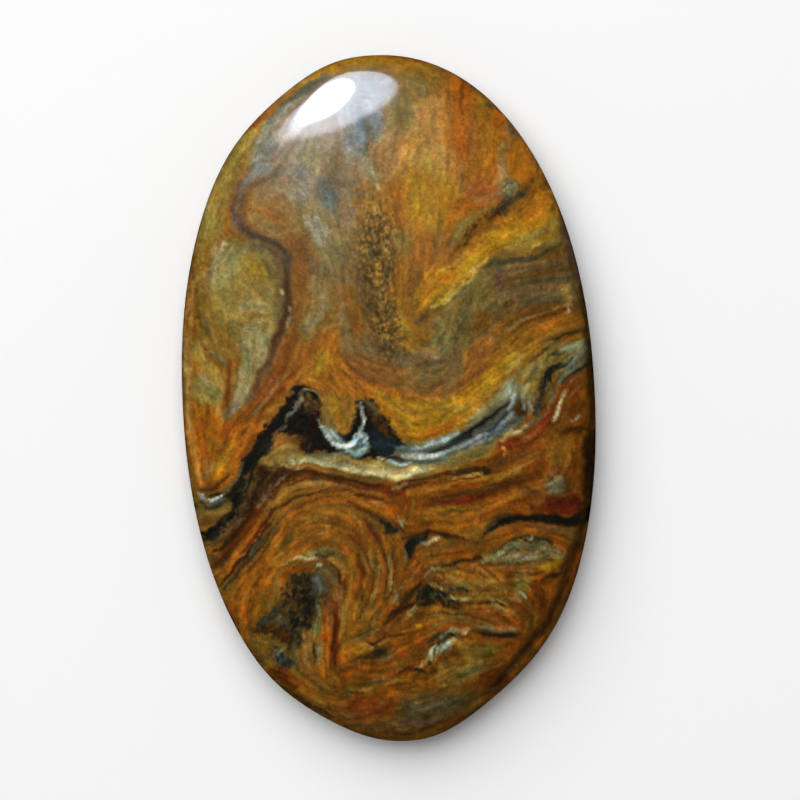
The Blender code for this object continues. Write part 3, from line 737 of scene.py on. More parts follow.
GOLD_CUP = [
    vein("brown", 1, 5, (2, 4, 4, 3), 446, 378, 434, 387, 422, 388, 412, 382),
    vein("olive", 1, 5, (2, 4, 4, 2), 414, 366, 420, 376, 432, 380, 444, 372, grain=0.3),
    vein("taupe", 0.95, 6, (3, 5, 5), 455, 352, 458, 368, 450, 380),
    vein("caramel", 1.05, 5, (2, 4, 4, 4, 3), 394, 380, 414, 393, 436, 397, 456, 389, 470, 376),
    patch("gold", 1.06, 5, 372, 392, 400, 397, 430, 402, 456, 398, 476, 382, 495, 366, 512, 358, 506, 376,
        490, 391, 473, 408, 456, 425, 430, 437, 410, 441, 396, 428, 384, 410, fray=1.5),
    vein("bronze", 1.16, 2.5, (0.8, 1.6, 1.6, 1), 384, 394, 402, 407, 424, 413, 446, 409),
    vein("yellow", 0.98, 4, (1.5, 3, 3.5, 3, 2), 392, 401, 404, 417, 418, 427, 436, 427, 452, 416),
    vein("bright_gold", 1.04, 3.5, (2, 4, 4, 2), 452, 402, 464, 396, 476, 388, 488, 378),
    vein("bronze", 1.15, 2, (0.8, 1.4, 1), 462, 412, 474, 402, 486, 390, strength=0.6),
    vein("honey", 1.1, 2.4, 2.2, 456, 409, 460, 407),
    vein("orange", 1.05, 2.4, (1, 2, 1.6), 420, 431, 438, 428, 454, 419),
    vein("russet", 1.2, 1.8, (0.8, 1.4, 1.4, 1), 400, 436, 416, 437, 434, 434, 450, 427),
    vein("straw", 0.92, 2.2, (1.5, 2.5, 2.5, 2, 1.5), 392, 436, 408, 443, 426, 442, 445, 436, 466, 427),
    patch("olive", 1.06, 5, 506, 374, 530, 362, 546, 352, 564, 346, 560, 366, 548, 378, 540, 392, 531, 405,
        518, 399, 507, 390, fray=1.5),
    vein("moss", 1.4, 2.2, (0.8, 1.4, 1.4, 0.8), 520, 390, 526, 378, 536, 368, 546, 360, strength=0.8),
    vein("straw", 0.95, 3, (1, 2.5, 2), 562, 346, 552, 354, 540, 364),
    vein("moss", 1, 1.6, (0.8, 1.4, 1), 548, 354, 556, 352, 563, 354),
    vein("caramel", 1, 4, (1.5, 3, 2), 516, 374, 522, 384, 518, 394, strength=0.7),
    patch("lichen", 0.96, 4, 498, 390, 510, 382, 522, 388, 518, 402, 504, 416, 488, 428, 466, 434, 470, 420,
        484, 405, fray=1.5),
    vein("sage", 0.9, 3, (2, 3, 2), 478, 424, 490, 410, 500, 398, strength=0.7),
    vein("frost", 0.9, 3, (1, 2.4, 1.6), 502, 404, 507, 396, 511, 388, strength=0.7),
    patch("sage", 0.85, 4, 556, 356, 572, 344, 590, 344, 592, 362, 577, 376, 562, 386, 555, 380, 562, 366,
        fray=1.2),
    vein("frost", 0.76, 4, (1, 3, 2), 562, 366, 574, 358, 586, 350, fray=1.6, strength=0.7),
    vein("lichen", 0.98, 3, (2, 3.5, 3), 562, 350, 574, 347, 586, 344),
    vein("slate", 1.2, 2.6, (1.5, 3, 3, 2), 562, 374, 571, 367, 579, 360, 588, 354),
    vein("lichen", 0.95, 2, (0.8, 2, 1.4), 565, 371, 574, 364, 583, 356, fray=1.2),
    vein("moss", 1.1, 2.4, (1, 2.4, 2), 572, 376, 580, 370, 590, 364, fray=1.2),
]

BLACK_SEAM = [
    patch("ink", 1, 2, 298, 384, 309, 387, 319, 393, 322, 412, 325, 428, 334, 441, 345, 450, 330, 453,
        308, 451, 299, 446, 294, 436, 284, 432, 274, 437, 266, 448, 259, 463, 248, 472, 252, 452, 258, 440,
        268, 426, 280, 412, 288, 398, fray=1.8),
    patch("ink", 1, 2, 352, 403, 364, 400, 374, 403, 382, 413, 390, 424, 397, 435, 406, 444, 418, 450,
        408, 458, 390, 458, 372, 457, 350, 456, 336, 446, 336, 434, 348, 432, 352, 418, fray=1.6),
    vein("umber", 1.5, 4, (3, 5, 5, 3), 370, 406, 377, 416, 384, 428, 391, 438, grain=0.6),
    vein("moss", 1.5, 2.5, (1.5, 2.5, 2), 368, 403, 373, 407, 377, 414),
    patch("midnight", 0.82, 4, 372, 430, 382, 434, 394, 440, 406, 450, 398, 456, 382, 455, 373, 446,
        fray=1),
    patch("khaki", 1.06, 3, 318, 392, 345, 398, 356, 399, 353, 412, 350, 424, 344, 432, 336, 429, 328, 422,
        323, 408, fray=1),
    vein("gold", 1.02, 4, (2, 4, 4, 2), 328, 398, 338, 406, 340, 416, 342, 426),
    vein("olive", 0.9, 2.4, (1.5, 2, 1.5), 324, 410, 329, 420, 336, 427),
    vein("oxblood", 0.36, 5, (2, 4, 4, 2), 311, 402, 316, 414, 314, 428, 308, 438, strength=0.8),
    vein("brown", 0.7, 3, (1.5, 3, 2.5), 304, 396, 311, 402, 314, 408, grain=0.8),
    vein("tan", 1, 1.5, (0.6, 1, 0.6), 308, 398, 309, 402, 308, 406, strength=0.8),
    vein("fawn", 1, 1.5, 0.9, 313, 402, 315, 401, strength=0.7),
    vein("lichen", 0.92, 1.7, (0.8, 1.6, 1.6, 0.8), 301, 391, 307, 388.5, 314, 390, 319, 395, fray=0.4),
    vein("grey", 0.9, 1.6, (0.6, 1.4, 1.2, 0.9, 0.5), 302, 393, 300, 403, 294, 412, 288, 420, 282, 429),
    vein("slate", 0.85, 1.7, (0.5, 1, 1, 0.5), 289, 419, 283, 426, 278, 433, 274, 441),
    patch("brown", 0.7, 3, 303, 394, 312, 396, 318, 408, 312, 416, 303, 412, 300, 402, strength=0.8,
        grain=1),
    vein("fawn", 1, 1.4, 0.8, 289, 397, 292, 394, strength=0.7),
    patch("caramel", 0.98, 4, 276, 440, 284, 434, 294, 434, 304, 440, 299, 449, 286, 453, 273, 452,
        fray=1.2, grain=0.35),
    vein("straw", 1, 3.5, (1.5, 3, 3, 2), 270, 456, 280, 450, 290, 448, 298, 450),
    patch("olive", 1.12, 3, 264, 458, 286, 452, 304, 452, 330, 455, 350, 457, 346, 463, 310, 462, 290, 464,
        264, 466, fray=1),
    vein("slate", 1.1, 2, (1, 2, 2, 1.5), 304, 453, 322, 455, 340, 454, 352, 456, fray=0.5),
    vein("brown", 1, 3, (1, 2.6, 2), 292, 436, 304, 442, 316, 446, strength=0.7, grain=0.7),
    patch("teal", 1.02, 2, 324, 427, 332, 428, 340, 434, 346, 441, 352, 446, 344, 449, 336, 444, 329, 437,
        fray=0.5),
    vein("midnight", 1, 2, (1, 2.2, 1.4), 339, 432, 344, 435, 347, 439, fray=0.4),
    vein("frost", 1.02, 1.5, (0.5, 1.2, 1.8, 2.1, 2, 1.8), 320, 420, 325, 429, 330, 437, 336, 443, 344, 447,
        352, 447, fray=0.9),
    vein("white", 0.85, 1.4, (0.6, 1.1, 0.8), 332, 430, 335, 433, 338, 437, fray=0.4),
    vein("white", 0.9, 1.5, (0.6, 1.2, 1), 336, 442, 342, 445, 349, 446, fray=0.4),
    patch("slate", 0.95, 2, 352, 441, 358, 436, 365, 438, 367, 445, 362, 450, 352, 450, fray=0.5),
    vein("teal", 1.15, 2, (1.5, 3.5, 3.5, 2), 348, 452, 357, 452, 366, 449, 369, 443, fray=0.5),
    vein("frost", 1, 1.5, (1.8, 2.4, 2, 1.6, 1.6, 1), 350, 445, 355, 438, 360, 430, 362.5, 421, 363.5, 412,
        362.5, 403, fray=0.9),
    vein("white", 1, 1.5, (0.8, 1.8, 1.6, 0.8), 362, 404, 363, 411, 363.5, 417, 363, 424, fray=0.4),
    vein("frost", 0.92, 1.5, (1.6, 1.6, 1.5, 1.2, 0.6), 360, 431, 365, 435, 368, 441, 366, 447, 358, 451,
        fray=0.9),
    vein("frost", 0.9, 1.8, (0.8, 2.2, 0.8), 357, 433, 361, 435, 365, 437),
    vein("white", 0.95, 1.6, (0.8, 1.6, 1), 347, 447, 353, 444, 357, 437, fray=0.4),
    vein("white", 0.84, 1.4, (0.4, 0.9, 0.5), 364, 434, 367.5, 438, 368, 443, fray=0.6),
    vein("teal", 0.9, 1.5, (0.8, 1.4, 0.8), 358, 441, 361, 443, 364, 442, fray=0.4),
    vein("mauve", 1, 1.4, (0.6, 1, 0.6), 356, 405, 360, 404, 361, 411, fray=0.4),
]

BLUE_BAND = [
    patch("slate", 1.12, 3, 400, 446, 420, 444, 446, 436, 470, 427, 492, 412, 508, 398, 520, 398, 526, 412,
        512, 430, 492, 444, 462, 456, 430, 462, 404, 462, 388, 460, fray=1),
    vein("slate", 1.02, 3, (2, 4, 5.5, 5, 3.6), 474, 446, 488, 436, 500, 427, 511, 416, 521, 407, fray=1),
    vein("midnight", 1.1, 1.9, (1, 2, 2.4, 2.2, 1.4), 472, 441, 483, 434, 493, 427, 502, 418, 511, 409),
    vein("midnight", 1.2, 1.8, (0.8, 1.6, 1.8, 1), 482, 445, 492, 438, 502, 430, 513, 421),
    vein("ash", 0.9, 1.5, (0.8, 1.4, 1.5, 1.4, 1), 466, 447, 480, 440, 494, 431, 505, 420, 515, 409,
        fray=0.6),
    vein("frost", 0.8, 1.4, (0.4, 0.8, 0.5), 488, 439, 497, 432, 506, 424, fray=0.5),
    vein("slate", 1.2, 1.7, (0.6, 1.2, 1.2, 0.6), 498, 434, 508, 427, 517, 420, 525, 414, fray=1),
    vein("ink", 1, 1.6, (0.8, 1.5, 2, 2.1, 1.9, 1.4, 0.8), 444, 441, 458, 436, 472, 430, 484, 422, 495, 413,
        505, 405, 513, 400, fray=0.4),
    vein("frost", 1, 2.2, (1, 2, 1.6), 508, 408, 511, 402, 512, 395, fray=0.5),
    vein("ink", 1.2, 2.2, (1.5, 2.8, 3, 2.4), 428, 452, 440, 448, 453, 443, 468, 436, fray=0.5),
    vein("midnight", 1.3, 2.2, (1, 1.8, 1.6, 1), 430, 453, 442, 449, 456, 443, 466, 438, fray=0.5),
    vein("frost", 0.95, 2.2, (0.8, 2, 2.6, 2.2, 1.2), 412, 450, 424, 446, 435, 441, 445, 438, 456, 433,
        fray=0.5),
    vein("white", 0.92, 1.6, (0.5, 1, 0.6), 427, 446, 435, 442, 442, 439, fray=0.4, strength=0.8),
    vein("frost", 1, 2.2, (1, 2.2, 2.6, 2.2, 1.2), 402, 456, 414, 455, 427, 455.5, 440, 453.5, 453, 449,
        fray=0.5),
    vein("white", 0.92, 1.8, (0.8, 1.6, 1.2, 0.6), 408, 455, 417, 454, 427, 455, 437, 453, fray=0.4),
    vein("teal", 0.8, 2.2, (1, 2, 1.4), 440, 456, 456, 450, 472, 443, fray=0.5),
    vein("ash", 0.95, 1.8, (0.8, 1.6, 1.4, 0.8), 448, 450, 460, 446, 472, 441, 484, 434, fray=0.4),
    vein("slate", 0.9, 2, (1, 2, 2, 1.2), 396, 460, 410, 461, 424, 460.5, 440, 459, fray=0.5),
    vein("frost", 0.9, 1.5, (0.6, 1.1, 1.1, 0.7), 378, 456, 389, 460, 401, 463, 413, 461, fray=0.4),
    vein("ink", 1, 1.5, (0.8, 1.4, 0.8), 384, 460, 392, 457.5, 402, 459, fray=0.4),
    vein("olive", 1.02, 2.2, (1.5, 2.6, 2.6, 1.6), 446, 459, 466, 452, 486, 444, 504, 436, fray=0.6),
    patch("umber", 1.3, 2.6, 514, 401, 523, 402, 527, 411, 522, 418, 514, 414, fray=0.8),
    vein("ash", 0.72, 1.6, (0.6, 1.1, 0.6), 522, 397, 523, 404, 522, 411, grain=0.3),
    vein("frost", 0.8, 1.7, (0.8, 1.6, 1.6, 0.8), 532, 395, 529.5, 403, 529, 410, 525, 417),
    vein("moss", 0.9, 2.8, (1.6, 3.4, 4, 4, 3.6, 2), 557, 361, 550, 371, 546, 383, 542, 394, 538, 405,
        532, 415, fray=2),
    vein("ink", 1.3, 2.4, (0.8, 2.8, 2.2, 0.6), 557, 364, 552, 371, 548, 379, 544, 387, fray=2),
    vein("ink", 1.7, 2.4, (0.5, 1.4, 1.6, 0.5), 543, 387, 540, 395, 537, 404, 531, 413, fray=2),
    vein("lichen", 0.66, 1.8, (0.6, 1.4, 1.2, 0.6), 548, 384, 545, 392, 542, 401, 539, 409, fray=1.4),
    vein("moss", 0.8, 2, (0.6, 1.4, 1.2, 0.6), 555, 368, 561, 365, 567, 361, 572, 357, fray=1.2),
    vein("slate", 0.8, 2.4, (1, 2, 1.6), 536, 400, 536, 408, 533, 415, fray=0.5),
    vein("ash", 0.68, 1.8, (0.8, 1.4, 1.4, 0.8), 560, 379, 554, 387, 550, 397, 546, 408, fray=0.5),
    vein("mauve", 0.8, 2.6, (1, 2.6, 2.4, 1.4), 543, 411, 537, 418, 530, 424, 521, 429, fray=0.5),
    vein("cream", 0.92, 1.9, (0.8, 2, 2.4, 1.8, 0.8), 529, 426, 521, 428, 513, 432, 507, 436, 501, 440,
        fray=0.5),
    patch("oxblood", 1.04, 4, 498, 445, 514, 437, 530, 430, 541, 419, 549, 406, 557, 392, 566, 380,
        578, 371, 572, 388, 564, 404, 555, 421, 543, 436, 525, 447, 508, 453, fray=1.6),
    vein("brick", 1.05, 3, (1, 2, 1.4), 512, 444, 528, 436, 540, 426, strength=0.6),
    vein("chestnut", 1, 2.5, (1, 2, 1.6), 548, 410, 558, 398, 568, 384),
    vein("ink", 1.6, 2, (0.8, 1.4, 1.4, 0.8), 562, 382, 570, 375, 578, 370, 588, 366, fray=0.4),
    vein("cream", 0.88, 1.5, (0.4, 0.9, 1.4, 1.5, 0.8), 566, 388, 561, 396, 558, 404, 556, 412, 553, 420),
    vein("fawn", 0.98, 1.6, (0.6, 1.2, 1.2, 0.6), 560, 394, 566, 387, 573, 381, 580, 376, fray=0.4),
    vein("fawn", 0.85, 1.6, (0.6, 1, 0.6), 566, 398, 574, 389, 582, 383, fray=0.4, strength=0.7),
    vein("tan", 0.85, 1.6, (0.6, 1, 0.6), 556, 430, 561, 421, 565, 412, fray=0.4, strength=0.7),
    vein("olive", 0.75, 2.5, (1, 2, 1.6), 567, 396, 564, 410, 559, 424, strength=0.7),
    vein("blush", 1, 2, (0.8, 1.8, 1.4), 570, 420, 574, 418, 578, 415),
    vein("bark", 0.95, 2.6, (1, 2.4, 2.4, 1.6), 558, 436, 568, 432, 578, 430, 587, 431),
    # Painted shade: dark band along the right edge, which turns away from the light
    vein("umber", 1, 4, (3, 5, 6), 592, 345, 598, 372, 599, 400),
]

CREAM_BAND = [
    vein("straw", 0.9, 3, (2, 4, 6, 8, 8, 6, 5, 4), 284, 462, 312, 461, 340, 464, 368, 467, 398, 470,
        424, 467, 450, 461, 482, 452, fray=1),
    vein("lichen", 0.98, 2.5, (1.5, 3, 4, 5, 5, 4, 3, 2), 290, 460, 312, 461, 340, 464, 368, 468, 398, 472,
        424, 468, 448, 462, 474, 454, fray=0.9),
    vein("sage", 0.98, 2, (1, 2, 2, 1.5), 350, 459, 366, 461, 380, 463, 394, 466),
    vein("cream", 0.96, 2.2, (0.6, 1.2, 1.6, 2.2, 3.4, 3.6, 2.4, 1.2), 296, 461, 318, 463, 342, 467,
        364, 471, 386, 474, 404, 473, 420, 470, 436, 465),
    vein("sand", 1, 2, (0.8, 1.6, 2, 1.2), 352, 464, 372, 468, 392, 470, 412, 468, fray=0.5),
    vein("straw", 1, 2.2, (1, 2.4, 2.4, 1.5), 410, 478, 434, 471, 458, 463, 486, 454, fray=0.5),
    vein("olive", 0.85, 1.8, (0.8, 1.4, 1.6, 1), 430, 466, 448, 461, 466, 455, 484, 449, fray=0.4),
    vein("blush", 0.98, 1.6, (0.8, 1.6, 1.2, 0.8), 286, 464, 294, 467, 304, 467, 316, 465.5, fray=0.5),
    vein("walnut", 1, 1.5, (0.8, 1.2, 1), 306, 464.5, 324, 466.5, 342, 469, fray=0.4),
    vein("caramel", 0.92, 3, (1, 2.4, 3, 3, 2.4, 1.4), 330, 471, 352, 475, 374, 480, 398, 483, 420, 480,
        444, 473, fray=0.6),
    vein("bark", 1.12, 2.6, (2, 3, 3, 2.6, 2, 1.6), 288, 471, 312, 473, 342, 478, 374, 485, 402, 487,
        426, 482, fray=0.6),
    vein("chestnut", 1.1, 3, (1, 3, 3), 304, 477, 326, 479, 348, 484),
    vein("sand", 0.88, 1.5, (0.8, 1.3, 0.8), 392, 486.5, 400, 485, 407, 484, fray=0.4),
    vein("umber", 1, 1.6, 1.2, 402, 488, 408, 487),
]

LEFT_SEAM = [
    vein("gold", 1, 4, (2, 4, 4, 3), 238, 438, 229, 450, 222, 464, 214, 476),
    vein("orange", 1, 4, (2, 5, 4), 244, 450, 236, 464, 226, 476),
    vein("tan", 1, 2, (1, 1.8, 1), 222, 444, 224, 446, 226, 444),
    vein("rust", 1.2, 6, (3, 6, 5), 196, 440, 200, 458, 208, 474),
    vein("fawn", 1, 4, (2, 4, 3), 205, 458, 210, 466, 206, 476, strength=0.7),
    vein("russet", 1.1, 3.5, (2, 4, 3), 258, 432, 250, 446, 243, 458),
    vein("umber", 1.4, 2.4, (1, 2.4, 2.4, 1.6), 228, 474, 220, 484, 210, 489, 200, 488),
    patch("moss", 0.6, 2.6, 262, 440, 276, 440, 270, 454, 262, 468, 255, 485, 249, 500, 240, 515, 226, 530,
        212, 540, 203, 536, 212, 525, 228, 512, 232, 503, 214, 494, 204, 494, 224, 490, 236, 482, 243, 468,
        251, 452, fray=1.2),
    vein("ink", 1, 2.4, (4, 6, 5, 4, 3), 266, 438, 256, 453, 250, 470, 243, 486, 236, 500, fray=1),
    vein("slate", 0.9, 1.7, (0.8, 1.4, 1.4, 0.8), 245, 463, 240, 474, 233, 482, 223, 488, fray=0.5),
    vein("moss", 0.95, 1.6, (0.8, 1.4, 1.4, 0.8), 256, 464, 251, 478, 246, 490, 239, 502),
    vein("ink", 1, 2.2, (2, 4, 3.5, 3, 1.6), 238, 512, 226, 520, 216, 528, 207, 532, 200, 532, fray=1),
    patch("olive", 0.92, 2.4, 195, 507, 212, 507, 229, 502, 235, 506, 224, 514, 208, 518, 200, 516, fray=1),
    vein("straw", 0.82, 2, (1, 2, 1.6), 200, 511, 212, 511, 224, 507),
    vein("caramel", 0.8, 2.4, (1, 3, 2), 203, 519, 210, 520, 217, 517),
    vein("moss", 1.05, 1.8, (1.5, 2.6, 2.6, 1.6), 200, 502, 209, 506, 219, 505, 228, 500),
    vein("teal", 0.66, 1.7, (0.8, 1.6, 1.6, 1), 201, 499, 208, 502, 217, 502, 226, 497),
    vein("frost", 0.9, 1.8, (1, 2, 1.4), 198, 492, 201, 497, 206, 501, fray=0.9),
    vein("frost", 1.02, 1.5, (0.6, 1.3, 1.1, 0.6), 207, 499, 213, 499, 219, 497, 225, 493, fray=0.7),
    vein("ink", 1.2, 1.6, (0.8, 1.6, 1), 205, 495, 213, 495, 221, 491, fray=0.5),
    patch("bark", 0.9, 3.5, 262, 463, 285, 460, 304, 468, 293, 480, 278, 492, 265, 507, 254, 521, 242, 536,
        228, 549, 219, 548, 233, 527, 246, 507, 255, 486, fray=1.5),
    vein("plum", 0.88, 2.6, (1, 2.6, 2.4, 1.4), 289, 470, 275, 478, 266, 488, 260, 499, grain=0.6),
    patch("ink", 1.4, 4, 256, 462, 284, 462, 294, 470, 278, 484, 262, 506, 244, 530, 228, 544, 222, 538,
        240, 514, 250, 488, strength=0.6, grain=1),
    patch("brown", 0.95, 4, 250, 476, 262, 470, 264, 488, 252, 510, 236, 528, 222, 538, 232, 518, 244, 498,
        strength=0.75, grain=1),
    patch("brick", 0.8, 3, 272, 474, 286, 470, 278, 484, 264, 500, 250, 520, 238, 532, 248, 512, 260, 490,
        strength=0.6, grain=1),
    vein("umber", 1.1, 1.8, (0.8, 1.6, 1.6, 1.6, 1), 264, 470, 258, 484, 253, 498, 246, 510, 234, 524),
    vein("umber", 1.2, 1.7, (0.8, 1.4, 1.4, 1), 284, 465, 272, 477, 263, 491, 257, 505),
    vein("fawn", 0.72, 1.4, (0.5, 0.9, 0.5), 262, 476, 257, 486, 254, 496),
    vein("caramel", 0.82, 1.5, (0.6, 1.1, 1.1, 0.6), 280, 480, 270, 490, 262, 503, 255, 515),
    vein("plum", 0.95, 1.8, (0.8, 1.6, 1.6, 1), 250, 505, 241, 518, 232, 529, 223, 537, grain=0.5),
    vein("oxblood", 0.75, 1.8, (0.8, 1.6, 1.4), 258, 507, 247, 521, 236, 534),
    vein("umber", 1.05, 2, (1, 2, 2.2, 1.4), 249, 520, 238, 533, 227, 545, 214, 552),
    vein("fawn", 0.42, 1.3, (0.4, 0.8, 0.5), 245, 507, 239, 516, 233, 523),
    vein("umber", 0.85, 1.5, (0.6, 1.2, 1.2, 0.6), 276, 466, 262, 484, 253, 503, 243, 517),
    vein("plum", 1.1, 1.5, (0.5, 1, 1, 0.5), 294, 469, 283, 477, 272, 489, 262, 505),
    vein("brown", 0.85, 2, (1.2, 2.2, 1.8), 206, 543, 216, 542, 227, 536),
    vein("plum", 0.88, 3, (2, 4, 4, 3), 214, 556, 222, 564, 228, 556, 238, 545),
    vein("brick", 0.72, 1.8, (0.8, 1.4, 1), 216, 558, 226, 549, 237, 537),
]

